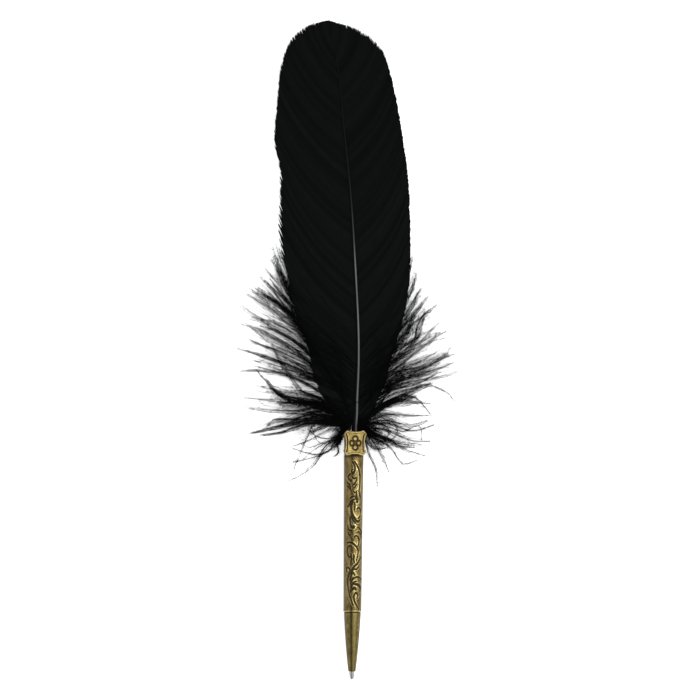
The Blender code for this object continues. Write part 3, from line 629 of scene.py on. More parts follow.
# The stripe, from the foot up: the place along, how far right of the shaft's middle it runs, its half
# width and how pale it is, from dye it has lost and from painted sheen.
STRIPE = ((0, 0.62, 0.42, 0.75), (7, 0.58, 0.4, 0.78), (13, 0.32, 0.38, 0.8), (22, 0.24, 0.36, 0.8),
          (39, 0.02, 0.32, 0.95), (69, 0, 0.28, 1), (75, 0, 0.27, 0.74), (82, 0, 0.26, 0.36),
          (88, 0, 0.25, 0.21), (95, 0, 0.24, 0.12), (101, 0, 0.22, 0.06), (114, 0, 0.2, 0.03),
          (145, 0, 0.15, 0))
FEATHER_BLACK = (0.0031, 0.0036, 0.0034)
SHAFT_PALE = (0.11, 0.11, 0.112)
shaft_keys = np.array(SHAFT)
shaft_table = flowing(shaft_keys[:, [1, 0, 2, 3]], 600)


def shaft_at(place):
    """The shaft's middle across, its height and its radius at places along the feather, in mm."""
    return read_off(shaft_table[:, [0, 2, 3]], shaft_table[:, 1], place)


def laid(points):
    """Turns points from the feather's own frame, in mm, to where the feather lies on the surface."""
    across, along, up = np.moveaxis(np.asarray(points, float), -1, 0)
    turned_across = across * math.cos(FEATHER_LEAN) - along * math.sin(FEATHER_LEAN)
    turned_along = across * math.sin(FEATHER_LEAN) + along * math.cos(FEATHER_LEAN)
    placed = np.stack([turned_across, turned_along, up], axis=-1) * MM
    return placed + np.array((PEN_AXIS.x, PEN_AXIS.y, 0))


def feather_black(name, roughness):
    """Dyed keratin: nearly black, with faint lighter streaks along the barbs and a dull sheen."""
    material = finish(name, FEATHER_BLACK, 0.0, roughness, specular=0.012)
    streaks = clouds(material, 260, 4.0)
    tone = painted(material, "tone")
    lighter = shades(material, tone, (0.0, (0.0022, 0.0026, 0.0025)), (1.0, (0.0046, 0.0052, 0.0049)))
    surface = mixed(material, ranged(material, streaks, 0.35, 0.65, 0.0, 0.5), lighter, FEATHER_BLACK)
    into(material, "Base Color", surface)
    return material


shaft_horn = finish("shaft_horn", SHAFT_PALE, 0.0, 0.5, specular=0.03)
# Pale keratin together with a painted sheen along the ridge.
stripe = painted(shaft_horn, "pale_and_sheen")
horn_grain = clouds(shaft_horn, 900, 3.0, stretch=(1, 0.05, 1))
horn_pale_and_sheen = shades(shaft_horn, horn_grain, (0.3, (0.105, 0.105, 0.107)), (0.7, (0.165, 0.165, 0.168)))
into(shaft_horn, "Base Color", mixed(shaft_horn, stripe, FEATHER_BLACK, horn_pale_and_sheen))
bumpy(shaft_horn, horn_grain, 0.00003)

shaft_path = flowing(shaft_keys[:, [1, 0, 2, 3]], SHAFT_ROWS)
shaft_turn = np.linspace(0, 2 * math.pi, SHAFT_SIDES, endpoint=False)
ridge = 1 + SHAFT_RIDGE * np.cos(shaft_turn) ** 8 * (np.cos(shaft_turn) > 0)
shaft_across, shaft_along, shaft_up, shaft_radius = shaft_path.T[:, :, None]
shaft_rings = np.stack([shaft_across + shaft_radius * np.sin(shaft_turn), shaft_along * np.ones(SHAFT_SIDES),
                        shaft_up + shaft_radius * np.cos(shaft_turn) * ridge], axis=-1)
shaft_index = np.arange(SHAFT_ROWS * SHAFT_SIDES).reshape(SHAFT_ROWS, SHAFT_SIDES)
shaft_faces = bands(shaft_index[::-1]).tolist() + [shaft_index[0].tolist(), shaft_index[-1][::-1].tolist()]
shaft_points = laid(shaft_rings.reshape(-1, 3))
shaft = body("shaft", shaft_points, shaft_faces, shaft_horn, "feather", "feather", crease=60)
stripe_keys = np.array(STRIPE)
stripe_offset, stripe_half, stripe_pale_and_sheen = read_off(stripe_keys[:, 1:], stripe_keys[:, 0], shaft_along)
sideways = np.abs(shaft_radius * np.sin(shaft_turn) - stripe_offset)
stripe_edge = np.clip((stripe_half - sideways) / 0.16 + 0.5, 0, 1)
# Painted sheen together with pale keratin, on the top of the shaft only.
carry(shaft, "pale_and_sheen", stripe_edge * (np.cos(shaft_turn) > 0) * stripe_pale_and_sheen)


# The two vanes are rows of barbs, flat tapered blades that grow from the shaft and hook on to each
# other like roof tiles. A few have come unhooked, which shows as creases, steps and a ragged edge.
# Each row is the barb's place on the shaft and where its tip lies, across and along, in mm.
LEFT_VANE = ((2, -9, 7), (8, -17, 21), (16, -21.5, 41), (24, -26, 52), (32, -29, 65), (38, -31.9, 77),
             (47, -32.9, 90), (68, -32.2, 111.8), (76, -33.6, 120), (84, -34.5, 126.5),
             (102, -33.1, 142), (120, -31.7, 155.4), (130, -29.8, 162.6), (140, -26.5, 169.2),
             (150, -20.6, 174), (160, -15, 175.7), (168, -11.6, 176.3), (172, -10.2, 176.4))
RIGHT_VANE = ((2, 8, 6), (8, 14.5, 24), (13, 18.2, 37.8), (24, 22.9, 55), (34, 24.3, 69), (48, 24.5, 84),
              (71, 23.7, 107.9), (91, 21.5, 125.4), (111, 18.7, 142.8), (132, 14.7, 160.2),
              (141, 11.6, 166), (149, 6.6, 170.7), (156, 0.3, 173.9), (164, -7, 175.6), (172, -10.9, 176.3))
VANE_BARBS = 380
VANE_ROWS = 17
VANE_CAMBER = 2.4
VANE_HALF_WIDTH = 30
BARB_BOW = 0.07
BARB_WIDTH = 0.42
BARB_TIP_WIDTH = 0.34
BARB_FLATNESS = 0.32
TEETH_DEPTH = 0.022
TIP_SCATTER = 0.012
SPLIT_REACH = 2.2


def unit(vectors):
    """The same directions, each with a length of one."""
    return vectors / (np.linalg.norm(vectors, axis=-1, keepdims=True) + 1e-9)


def blades(paths, half_widths, flatness, sides, lean=0.0):
    """Closed tapered blades, one along each path: an oval tube from a flat root to a pointed tip.
    Paths are (blade, step, xyz). It returns the points, the faces and how many points a blade has."""
    count, steps = paths.shape[:2]
    along = unit(np.gradient(paths, axis=1))
    level = unit(np.cross(along, (0, 0, 1.0)))
    upright = np.cross(level, along)
    across = level * math.cos(lean) + upright * math.sin(lean)
    rise = upright * math.cos(lean) - level * math.sin(lean)
    turn = np.linspace(0, 2 * math.pi, sides, endpoint=False)
    size = half_widths[:, :-1, None, None]
    wide = across[:, :-1, None] * np.cos(turn)[:, None] * size
    thick = rise[:, :-1, None] * np.sin(turn)[:, None] * size * flatness
    rings = (paths[:, :-1, None] + wide + thick).reshape(count, -1, 3)
    points = np.concatenate([rings, paths[:, -1:]], axis=1)
    index = np.arange((steps - 1) * sides).reshape(steps - 1, sides)
    tips = np.stack([index[-1], np.full(sides, (steps - 1) * sides), np.roll(index[-1], -1)], axis=-1)
    each = points.shape[1]
    start = np.arange(count)[:, None, None] * each
    faces = (bands(index) + start).reshape(-1, 4).tolist() + (tips + start).reshape(-1, 3).tolist()
    faces += (index[0] + start[:, 0]).tolist()
    return points.reshape(-1, 3), faces, each


def vane_height(across, along):
    """The height of the vane's surface, which falls away from the shaft to both sides."""
    middle, height, _ = shaft_at(along)
    return height - VANE_CAMBER * (np.abs(across - middle) / VANE_HALF_WIDTH) ** 1.5


def vane(name, rows, hand, splits, fray, seed):
    """One vane. Splits are places on the shaft where the barbs lie a step higher, in mm, than their
    neighbours, and fray says how ragged the barbs' tips are at each place on the shaft."""
    random = np.random.default_rng(seed)
    table = flowing(rows, 400)
    root = np.interp(np.linspace(0, 1, VANE_BARBS), np.linspace(0, 1, len(table)), table[:, 0])
    root += random.normal(0, 0.05, VANE_BARBS)
    tip = np.stack(read_off(table[:, 1:], table[:, 0], root), axis=1)
    middle, _, radius = shaft_at(root)
    start = np.stack([middle + hand * radius * 0.45, root], axis=1)
    share = 1 - (1 - np.linspace(0, 1, VANE_ROWS)) ** 1.6
    chord = tip - start
    length = np.linalg.norm(chord, axis=1)
    outward = np.stack([chord[:, 1], -chord[:, 0]], axis=1) * hand
    clumps = np.cumsum(random.normal(0, 0.12, VANE_BARBS))
    clumps -= np.convolve(clumps, np.ones(15) / 15, "same")
    ragged = np.interp(root, *zip(*fray))
    teeth = np.cumsum(random.uniform(0.12, 0.4, VANE_BARBS)) % 1
    shorter = teeth * TEETH_DEPTH + np.abs(random.normal(0, TIP_SCATTER, VANE_BARBS))
    reach = 1 + random.normal(0, 0.003, VANE_BARBS) - shorter * ragged
    bow = BARB_BOW * 4 * share * (1 - share)
    flat = start[:, None] + chord[:, None] * (share[None, :, None] * reach[:, None, None])
    flat += outward[:, None] * bow[None, :, None]
    sway = (clumps + random.normal(0, 0.05, VANE_BARBS))[:, None] * share**3 * (0.5 + ragged[:, None])
    flat += outward[:, None] / length[:, None, None] * sway[..., None]
    height = vane_height(flat[..., 0], flat[..., 1])
    uneven = random.normal(0, 0.035, VANE_BARBS) + 0.16 * np.sin(root * 0.43 + seed)
    height += uneven[:, None] * share
    for place, step in splits:
        beyond = root - place
        height += (np.sign(beyond) * step * np.exp(-np.abs(beyond) / SPLIT_REACH))[:, None] * share**0.7
    paths = np.concatenate([flat, np.maximum(height, 0.45)[..., None]], axis=2)
    width = BARB_WIDTH + (BARB_TIP_WIDTH - BARB_WIDTH) * share
    narrowing = np.clip((1 - share[None]) / (0.02 + 0.06 * ragged[:, None]), 0.2, 1) ** 0.6
    points, faces, each = blades(paths, width[None] * narrowing, BARB_FLATNESS, 4, lean=0.16 * hand)
    piece = body(name, laid(points), faces, vane_black, "feather", "feather", crease=80)
    tone = np.convolve(random.random(VANE_BARBS), np.ones(5) / 5, "same")
    carry(piece, "tone", np.repeat(np.clip((tone - 0.5) * 2.2 + 0.5, 0, 1), each))


vane_black = feather_black("vane_black", 0.55)
vane("left_vane", LEFT_VANE, -1, ((67, 0.2), (82.5, -0.16), (101, 0.18), (31, 0.14), (128, 0.14)),
     ((0, 1.5), (40, 1.2), (66, 0.6), (80, 0.2), (120, 0.2), (135, 0.5), (172, 0.7)), 11)
vane("right_vane", RIGHT_VANE, 1, ((55, 0.12), (96, -0.15), (124, 0.12)),
     ((0, 1.5), (14, 1.2), (26, 0.3), (110, 0.15), (138, 0.5), (152, 1.0), (172, 0.6)), 12)


# The down grows from the foot of the shaft: long soft barbs with hair-fine barbules on both sides.
# Dyeing has drawn many of them together in pointed tufts, and between these the light shows through.
# A tuft is its number of barbs, its spread and the height of its tip, then its path from root to tip.
LEFT_TUFTS = (
    (16, 2.4, 3, (-1.5, 6), (-5.5, 14), (-11.6, 27.1), (-20.8, 41.7), (-27.2, 49.5), (-45.2, 61.1)),
    (7, 1, 2, (-1.5, 22), (-10, 38), (-20, 55), (-28, 69), (-32, 78)),
    (6, 1.4, 2.6, (-1.5, 20), (-10, 36), (-20, 51), (-29, 64), (-35.6, 74)),
    (14, 2.2, 3.4, (-1.5, 17), (-10, 33), (-20, 47), (-28, 59), (-34, 70)),
    (14, 2.2, 2.8, (-1.5, 15), (-10, 30), (-20, 44), (-29, 55), (-37, 65)),
    (12, 2, 3.2, (-1.5, 13), (-10, 27), (-20, 41), (-29, 51), (-39, 59)),
    (2, 0.6, 2, (-1.5, 20), (-10, 36), (-20, 52), (-29, 68), (-33.8, 81)),
    (8, 1.5, 2.5, (-1.5, 18), (-10, 34), (-21, 50), (-29, 63), (-35.5, 78.8)),
    (8, 1.5, 3, (-1.5, 16), (-10, 32), (-22, 49), (-29, 61), (-34.6, 74.8)),
    (8, 1.6, 2.6, (-1.5, 14), (-10, 30), (-22, 47), (-30, 60), (-39.1, 69.9)),
    (8, 1.6, 2.2, (-1.5, 13), (-10, 28), (-22, 45), (-31, 57), (-40.9, 66.7)),
    (7, 1.5, 2, (-1.5, 12), (-10, 27), (-22, 43), (-33, 55), (-44.3, 61.9)),
    (7, 1.8, 1.8, (-1.5, 11), (-9, 24), (-21, 40), (-34, 51), (-46.2, 58.9)),
    (7, 1.4, 4, (-1.5, 10), (-8, 20), (-20, 36), (-33.1, 45.2), (-45.2, 48.6)),
    (6, 1.2, 5, (-1.5, 9), (-8, 18), (-20, 33), (-32.3, 41.7), (-40.9, 44.7)),
    (5, 1.2, 2.5, (-1.5, 9), (-8, 18), (-21, 31), (-36, 40.5), (-45.6, 44.7)),
    (5, 1, 1.5, (-1.5, 10), (-9, 21), (-22, 36), (-38, 46), (-49, 54.2)),
    (4, 1, 2, (-1.5, 9), (-10, 20), (-24, 33), (-39, 42), (-50.7, 46.4)),
    (6, 1.1, 6.5, (-1.2, 3.5), (-9, 10), (-15, 13.4), (-22.4, 16), (-25.1, 19.4), (-29.4, 25.8),
     (-34.4, 33.5), (-35.8, 37)),
    (6, 1.4, 3.5, (-1.3, 6), (-7, 13), (-14, 20), (-27.2, 25.1), (-34.4, 25.8)),
    (4, 1.2, 2, (-1.3, 7), (-8, 15), (-20, 26), (-34, 34), (-45.2, 39.1)),
    (6, 1.3, 1.5, (-1.3, 7), (-8, 14), (-20, 24), (-36, 31), (-50.3, 35.7)),
    (3, 0.9, 1.2, (-1.3, 6), (-9, 13), (-22, 21), (-35, 25.5), (-44.3, 28)),
    (5, 0.9, 2, (-1.2, 4), (-8, 11), (-17, 18), (-30.5, 24.1), (-41, 25.6), (-50.1, 25.4)),
    (12, 1.8, 3.5, (-1.2, 2.5), (-7, 7), (-15, 11.5), (-24, 13.2), (-30, 14.8), (-36.6, 18.3)),
    (10, 2.2, 5, (-1.2, 2), (-7, 6), (-15, 10), (-24, 11), (-34.1, 11.8)),
    (8, 2, 2.2, (-1.2, 1.5), (-7, 4.6), (-15, 7.6), (-22, 7.8), (-29, 6.9)),
    (9, 1.3, 3, (-1.2, 2.2), (-8, 7), (-16, 11), (-26, 11.8), (-33, 15.5), (-37.9, 22.4)),
    (4, 0.7, 2, (-1.2, 2.4), (-9, 8), (-20, 11.8), (-30, 14), (-37, 20), (-42.5, 27)),
    (4, 1, 1.2, (-1.2, 2.5), (-8, 7.5), (-20, 13), (-33, 16), (-41.3, 17.2)),
    (3, 0.8, 1, (-1.2, 2.2), (-9, 7), (-22, 11.5), (-36, 13), (-47.7, 14.2)),
    (3, 0.8, 1, (-1.2, 2), (-9, 5.6), (-22, 8), (-36, 8.6), (-48.6, 9.9)),
    (11, 1.8, 2.6, (-1.1, 1), (-8, 4.2), (-18.1, 7), (-26, 4.6), (-33, 4.4), (-38.7, 1.3)),
    (6, 1.4, 1.6, (-1.1, 0.8), (-8, 3), (-17, 4.6), (-25, 2.2), (-30, 2.6), (-33.7, 0.9)),
    (9, 1.3, 1, (-1.1, 0.8), (-9, 3), (-20, 4.2), (-33, 1), (-45.2, -1.7)),
    (7, 1.1, 1.2, (-1.1, 0.6), (-9, 2.2), (-19, 2.8), (-30, -0.8), (-40.9, -2.6)),
    (2, 0.8, 1.4, (-1.1, 0.6), (-6, 0.6), (-12, -0.6), (-18, -3.8), (-27.3, -7.7)),
    (1, 0.4, 1.2, (-1.1, 0.5), (-6, -2), (-12, -5.6), (-18, -9.6), (-22, -13), (-25.8, -14.2)),
    (2, 0.4, 0.9, (-1.1, 0.5), (-6, -1.8), (-12.6, -8.3), (-16.8, -14.4), (-22, -18.8), (-28.4, -22.1)),
    (5, 0.35, 2.8, (-1.1, 0.5), (-5.6, -1.6), (-7.4, -5.2), (-6.5, -8.6), (-7.2, -10.8), (-8.9, -11.6)),
    (2, 0.3, 1.2, (-1.1, 0.4), (-4.5, -3), (-7.7, -6.5), (-11.6, -9.8), (-16.9, -10.5), (-22, -9.2),
     (-27.4, -7.5)),
    (2, 0.4, 1, (-1.1, 0.4), (-5, -4), (-9, -8), (-13.6, -10.8), (-20.8, -13.1), (-26.1, -13.8)),
    (2, 0.3, 1, (-1.1, 1.2), (-10, 3.4), (-17, 2.6), (-19.5, -2.6), (-21, -6), (-24.8, -15.1),
     (-27.4, -21)),
    (2, 0.3, 3, (-1.2, 3), (-9, 7.6), (-15, 8.5), (-18.2, 5.6), (-17.9, 0.7), (-16.2, -3.9),
     (-13.6, -5.9), (-9.5, -4.6)),
    (2, 0.3, 3.4, (-1.1, 1.4), (-4.5, 0.6), (-8.6, -3), (-13, -3.8), (-17.5, -1.8), (-20.8, 1.9)),
    (2, 0.3, 1.6, (-1.1, 0.4), (-6, -3), (-11.6, -6.5), (-14, -10.5), (-16.9, -15.7)),
    (1, 0.4, 1.2, (-1.1, 0.6), (-6, -2.4), (-11, -5), (-15, -6.4), (-19, -7.6), (-23, -5.6)),
    (10, 1.1, 2.5, (-1.1, 2.4), (-3.2, 1.2), (-5, -1.2), (-6.4, -4.4), (-7.4, -7.5)),
    (12, 0.9, 3, (-1.1, 1.2), (-3.8, 0.8), (-5.2, -1.6), (-5.7, -4), (-6.2, -6.8)),
    (6, 1, 2.5, (-1.1, 3), (-4, 2.8), (-7, 1.4), (-9, -0.4)),
)
RIGHT_TUFTS = (
    (11, 1.3, 2, (1.5, 22), (10, 39), (18, 54), (23.6, 65), (26.2, 76)),
    (12, 1.6, 2.4, (1.5, 19), (10, 36), (19, 50), (25, 60), (28, 70)),
    (13, 1.9, 3, (1.5, 16), (10, 32), (19, 44), (25.5, 53), (30, 61)),
    (9, 1.6, 2, (1.5, 15), (10, 30), (20, 43), (28, 51), (33, 58)),
    (16, 2, 4, (1.5, 12), (9, 24), (17, 34), (23, 42), (26.5, 51)),
    (10, 1.5, 5, (1.5, 13), (10, 24), (20, 32), (26.6, 38.6), (27.4, 44), (30.5, 49.5), (36.6, 54.2)),
    (5, 1.1, 4, (1.5, 14), (9, 27), (19, 36.4), (26, 38), (29, 43), (31, 51.6)),
    (3, 1, 3, (1.5, 11), (10, 22), (21, 32), (30, 39), (37.4, 46.4)),
    (4, 1.2, 1.6, (1.5, 10), (10, 20), (21, 29), (33, 38), (43, 43.6)),
    (11, 2.2, 5.5, (1.4, 8), (8, 16), (17.6, 24.5), (27, 27), (35.3, 30.2), (42.6, 35.9)),
    (9, 1.8, 3.5, (1.4, 8), (9, 16), (18, 22.5), (27, 26), (36, 30), (44.3, 33.5)),
    (7, 1.5, 2.4, (1.4, 7), (9, 14), (18, 20), (28, 23), (36, 26), (44.3, 29.2)),
    (3, 0.9, 1.6, (1.4, 6), (9, 12.6), (18, 18.6), (30, 21.4), (40, 23), (46.9, 25.4)),
    (4, 1, 3, (1.4, 5.6), (9, 11.8), (18, 17.4), (27, 19.6), (36.6, 24)),
    (3, 0.6, 1.2, (1.3, 5), (9, 10.6), (18, 15.4), (26, 17.6), (32.1, 19.4), (40.9, 16.3), (44.6, 12)),
    (4, 0.5, 1.5, (1.3, 3), (8, 8), (16, 12.5), (22, 14.6), (27.3, 13.7), (30.6, 10.6), (34.3, 6)),
    (5, 0.7, 1.6, (1.3, 2.6), (8, 7), (16, 11.2), (24, 12.2), (34, 11)),
    (2, 0.3, 1.2, (1.2, 1.5), (8, 3), (17, 0.5), (22.4, -1), (27.3, 1.8), (29.8, 0.6), (30, -5.2)),
    (2, 0.5, 2.2, (1.2, 1.8), (6, 4.6), (13, 5.4), (18.4, 2.6), (19.4, -2), (15, -5.8)),
    (6, 1.6, 1.8, (1.2, 0.9), (6, -2), (12, -5), (19, -6.8), (27, -7.4)),
    (3, 1, 1.6, (1.2, 0.9), (7, -0.8), (14, -3.4), (22, -5.4), (31, -6.2)),
    (2, 0.5, 2.2, (1.2, 1.4), (6, 3.4), (12, 3.2), (15.6, 0), (14.6, -4.2), (10, -6.4)),
    (13, 1.4, 4.4, (1.3, 2.6), (6, 6.2), (13, 11), (23.2, 15.6), (30, 18.6), (35, 20)),
    (12, 1.2, 3, (1.3, 2.2), (6, 5.2), (12, 8.6), (18, 11.6), (23.2, 12.9), (28, 14.4)),
    (3, 0.8, 1.3, (1.3, 2), (7, 4), (14, 6.2), (24, 6), (34, 6)),
    (4, 0.9, 1.1, (1.2, 1.6), (7, 3), (14, 4), (25, 2.2), (35.9, 4.9)),
    (4, 0.8, 1, (1.2, 1.4), (7, 2.2), (15, 2.6), (26, -0.6), (36.3, 2.2)),
    (4, 0.7, 1, (1.2, 1), (7, 0.8), (15, -0.4), (25, -4.4), (34.8, -5.2)),
    (3, 0.6, 0.9, (1.2, 1), (7, -0.4), (14, -4), (23, -9), (32.1, -11.6)),
    (5, 0.9, 1.8, (1.2, 1), (6, -0.2), (11, -2.8), (16.2, -4.6), (20.4, -6.6)),
    (3, 0.4, 1.1, (1.1, 0.8), (6, -1.4), (11, -4.4), (16.2, -7.7), (20, -13.2), (22.8, -15.2),
     (28.2, -13.3)),
    (3, 0.5, 1, (1.1, 0.8), (5, -1.8), (8.6, -5.4), (12, -10.1), (16.2, -19.4)),
    (3, 0.4, 1, (1.1, 0.8), (4.6, -3.4), (6.5, -9.8), (9.9, -17.2), (10.8, -24.9)),
    (7, 1.2, 2, (1.1, 0.9), (5, -0.6), (9, -3.2), (13.6, -7.6)),
    (5, 0.8, 2.4, (1.1, 0.6), (4.4, -2.2), (6.6, -5.4), (10, -8.2), (15, -7.6)),
    (12, 1.6, 2.5, (1.1, 2.4), (4.2, 1.8), (7.6, 0.2), (11, -3.2)),
    (8, 1, 2.5, (1.1, 1.2), (4, 0.8), (6.2, -1.2), (7.4, -4.2)),
    (5, 1.1, 2.5, (1.1, 3), (5, 3), (9, 1.4), (13, -1.4)),
)
# Single curled locks that have fallen over the face of the vanes.
FACE_TUFTS = (
    (5, 0.7, 8.5, (2.5, 6), (8.2, 12), (8.4, 21), (11.2, 30), (10.2, 37.8), (6.9, 45.2)),
    (5, 0.8, 8, (2.5, 8), (10, 18), (13, 27), (17, 32), (19.5, 39)),
    (5, 0.8, 8, (-2, 8), (-8, 20), (-13, 30), (-19, 38), (-23, 44)),
    (4, 0.6, 8.5, (-2, 6), (-5, 18), (-5.4, 27), (-9, 36), (-10, 42)),
    (5, 0.9, 8.2, (2.5, 3), (9, 8), (14, 16), (20, 22), (22, 30)),
    (5, 0.9, 8.2, (-2.2, 3), (-9, 9), (-16, 14), (-24, 17)),
    (2, 0.2, 7.4, (-3.2, 10.4), (-1, 11.2), (1.2, 12), (3.2, 12.9)),
    (10, 1, 5.6, (-1.6, 7), (-2.4, 4), (-3.8, 1), (-5.6, -0.8)),
    (8, 0.5, 5.4, (-1.3, 4), (-1.7, 2), (-2.4, 0.4), (-4, -0.1)),
    (10, 1, 5.6, (1.9, 7), (2.8, 4), (4.4, 1), (6.2, -0.8)),
    (8, 0.5, 5.4, (1.7, 4), (2, 2), (2.8, 0.4), (4.2, -0.1)),
)
# The fan of single barbs, from beside the vane round to the collar: the share of the way round with how far
# the barbs reach, across and along, then with where they grow and their angles at root and tip, in degrees.
LEFT_EDGE = ((0, -33, 80), (0.12, -41, 64), (0.25, -46, 50), (0.40, -47, 33), (0.52, -43, 15),
             (0.66, -36, 1), (0.78, -27, -5), (0.90, -16, -8), (1, -9, -9))
RIGHT_EDGE = ((0, 26.7, 69), (0.15, 32, 57), (0.30, 40, 43), (0.45, 42, 27), (0.58, 36, 13),
              (0.70, 27, 4), (0.80, 20, -3), (0.90, 13, -7), (1, 7, -9))
GROWTH = ((0, 38, 40, 26), (0.25, 20, 42, 52), (0.5, 9, 52, 84), (0.7, 5, 68, 104), (1, 1.6, 80, 140))
# Where the light shows through: the middle of each gap, then its half width and half height.
LEFT_GAPS = ((-30.6, 20.8, 3.2, 2.2), (-13.5, -2.4, 3.4, 2.0), (-6.0, -8, 1.2, 1.6))
RIGHT_GAPS = ((26, 8.6, 9, 1.3), (18, 14, 1.6, 1.2), (29.5, 16.4, 5, 1.8))
LOOSE_BARBS = (310, 215)
MATTED_BARBS = (50, 40)
MATTED_SHARE = 0.5
DOWN_ROWS = 15
DOWN_STEPS = 1 - (1 - np.linspace(0, 1, DOWN_ROWS)) ** 1.3
DOWN_BARB_HALF_WIDTH = 0.076
BARBULE_HALF_WIDTH = 0.038
BARBULES_PER_MM = 2.5
BARBULE_LENGTH = 3.1
BARBULE_SPREAD = 0.47
UPPER_DOWN = 40
FLOOR_CLEARANCE = 0.35


def bristling(paths, random, under):
    """Barbules: straight hair-fine spikes off both sides of each barb, as closed four-faced points.
    The barbs have none where they lie under the vane, whose rows are given."""
    count, steps = paths.shape[:2]
    runs = np.linalg.norm(np.diff(paths, axis=1), axis=2).sum(1)
    number = np.maximum((runs * BARBULES_PER_MM).astype(int), 2)
    owner = np.repeat(np.arange(count), number)
    share = random.beta(1.15, 0.95, len(owner)) * 0.9 + 0.09
    spot = share * (steps - 1)
    places = paths[owner, np.round(spot).astype(int)]
    edge = np.interp(places[:, 1], [row[2] for row in under], [abs(row[1]) for row in under])
    clear = (np.abs(places[:, 0]) > edge - 2.0) | (places[:, 1] < under[0][2])
    owner, share, spot = owner[clear], share[clear], spot[clear]
    below = np.minimum(spot.astype(int), steps - 2)
    part = (spot - below)[:, None]
    low, high = paths[owner, below], paths[owner, below + 1]
    root = low * (1 - part) + high * part
    along = unit(high - low)
    side = unit(np.cross(along, (0, 0, 1.0)))
    rise = np.cross(side, along)
    turn = random.choice([0.0, math.pi], len(owner)) + random.normal(0, 0.5, len(owner))
    angle = np.abs(random.normal(BARBULE_SPREAD, 0.13, len(owner))) + 0.05
    out = side * np.cos(turn)[:, None] + rise * (np.sin(turn) * 0.7)[:, None]
    way = along * np.cos(angle)[:, None] + out * np.sin(angle)[:, None]
    reach = BARBULE_LENGTH * random.uniform(0.55, 1.25, len(owner)) * np.clip(1.25 - share, 0.3, 0.85) / 0.85
    tip = root + way * reach[:, None]
    tip[:, 2] = np.maximum(tip[:, 2], FLOOR_CLEARANCE)
    first = unit(np.cross(way, rise))
    second = np.cross(way, first)
    corners = [first * math.cos(angle) + second * math.sin(angle) for angle in (0, 2.094, 4.189)]
    ring = [root + corner * BARBULE_HALF_WIDTH for corner in corners]
    points = np.stack([*ring, tip], axis=1)
    shape = np.array(((0, 2, 1), (0, 1, 3), (1, 2, 3), (2, 0, 3)))
    faces = (shape[None] + np.arange(len(owner))[:, None, None] * 4).reshape(-1, 3)
    return points.reshape(-1, 3), faces, 4


def tufted(tufts, random):
    """The barbs of the drawn-together tufts, each a path from the shaft to near the tuft's tip, and how many
    times thicker than a single barb each is: the inner ones are matted in short strands."""
    paths, thickness = [], []
    for number, spread, tip_height, *keys in tufts:
        guide = flowing(keys, 40)
        guide_share = np.linspace(0, 1, 40)
        share = DOWN_STEPS
        along = unit(np.gradient(guide, axis=0))
        beside = np.stack([along[:, 1], -along[:, 0]], axis=1)
        _, root_height, _ = shaft_at(keys[0][1])
        matted = math.ceil(number * MATTED_SHARE)
        for place in range(number + matted):
            reach = random.uniform(0.5, 0.92) if place >= number else random.uniform(0.75, 1.0) ** 0.4
            reach = reach if place else 1.0
            thickness.append(random.uniform(0.7, 1.5) if 0 < place < number else random.uniform(1.8, 2.8))
            line = np.stack(read_off(guide, guide_share, share * reach), axis=1)
            offset = random.normal(0, spread * 0.55) * np.sin(share * 2.75) ** 1.1
            waver = random.normal(0, spread * 0.35) * np.sin(share * 5 + random.uniform(0, 6))
            offset = offset + waver * share
            line += np.stack(read_off(beside, guide_share, share * reach), axis=1) * offset[:, None]
            height = root_height + (tip_height + random.normal(0, 0.35) - root_height) * share**0.8
            height = height + random.normal(0, 0.7) * np.sin(share * math.pi)
            paths.append(np.column_stack([line, np.maximum(height, FLOOR_CLEARANCE + 0.35)]))
    return np.array(paths), np.array(thickness)


def loose(edge, hand, number, gaps, random, matted=False):
    """Single barbs of the down between the tufts, that fan out from the shaft's foot. Matted ones are
    thicker strands beside the vane, which lie more in line."""
    edge, growth = np.array(edge, float), np.array(GROWTH, float)
    paths = []
    while len(paths) < number:
        way = random.uniform(0.05, 0.5) if matted else random.uniform(0, 1) ** 1.1
        reach = random.uniform(0.66, 1) if matted else 0.42 + 0.58 * random.uniform(0, 1) ** 1.35
        wander = 0.4 if matted else 1
        place, root_angle, tip_angle = read_off(growth[:, 1:], growth[:, 0], way)
        start_along = place + random.normal(0, 0.5)
        middle, root_height, radius = shaft_at(start_along)
        start = np.array((middle + hand * radius * 0.6, start_along))
        end = np.array(read_off(edge[:, 1:], edge[:, 0], way))
        end = start + (end - start) * reach + random.normal(0, 1.2 * wander, 2)
        length = np.linalg.norm(end - start)
        leaves = math.radians(root_angle + random.normal(0, 6 * wander))
        arrives = math.radians(tip_angle + random.normal(0, 14 * wander))
        first = np.array((hand * math.sin(leaves), math.cos(leaves))) * length
        last = np.array((hand * math.sin(arrives), math.cos(arrives))) * length * 0.8
        t = DOWN_STEPS[:, None]
        line = ((2 * t**3 - 3 * t**2 + 1) * start + (t**3 - 2 * t**2 + t) * first
                + (3 * t**2 - 2 * t**3) * end + (t**3 - t**2) * last)
        wave = random.normal(0, 0.5) * np.sin(t * random.uniform(4, 9) + random.uniform(0, 6)) * t
        line = line + wave * np.array((math.cos(leaves), -hand * math.sin(leaves)))
        if any((((line - gap[:2]) / gap[2:]) ** 2).sum(1).min() < 1 for gap in np.array(gaps)):
            continue
        lift = random.uniform(0.5, 8.5)
        height = root_height + (lift - root_height) * t[:, 0] ** 0.9
        height = height + random.normal(0, 0.6) * np.sin(t[:, 0] * math.pi)
        paths.append(np.column_stack([line, np.maximum(height, FLOOR_CLEARANCE + 0.2)]))
    return np.array(paths), random.uniform(*((1.5, 2.5) if matted else (0.7, 1.3)), number)


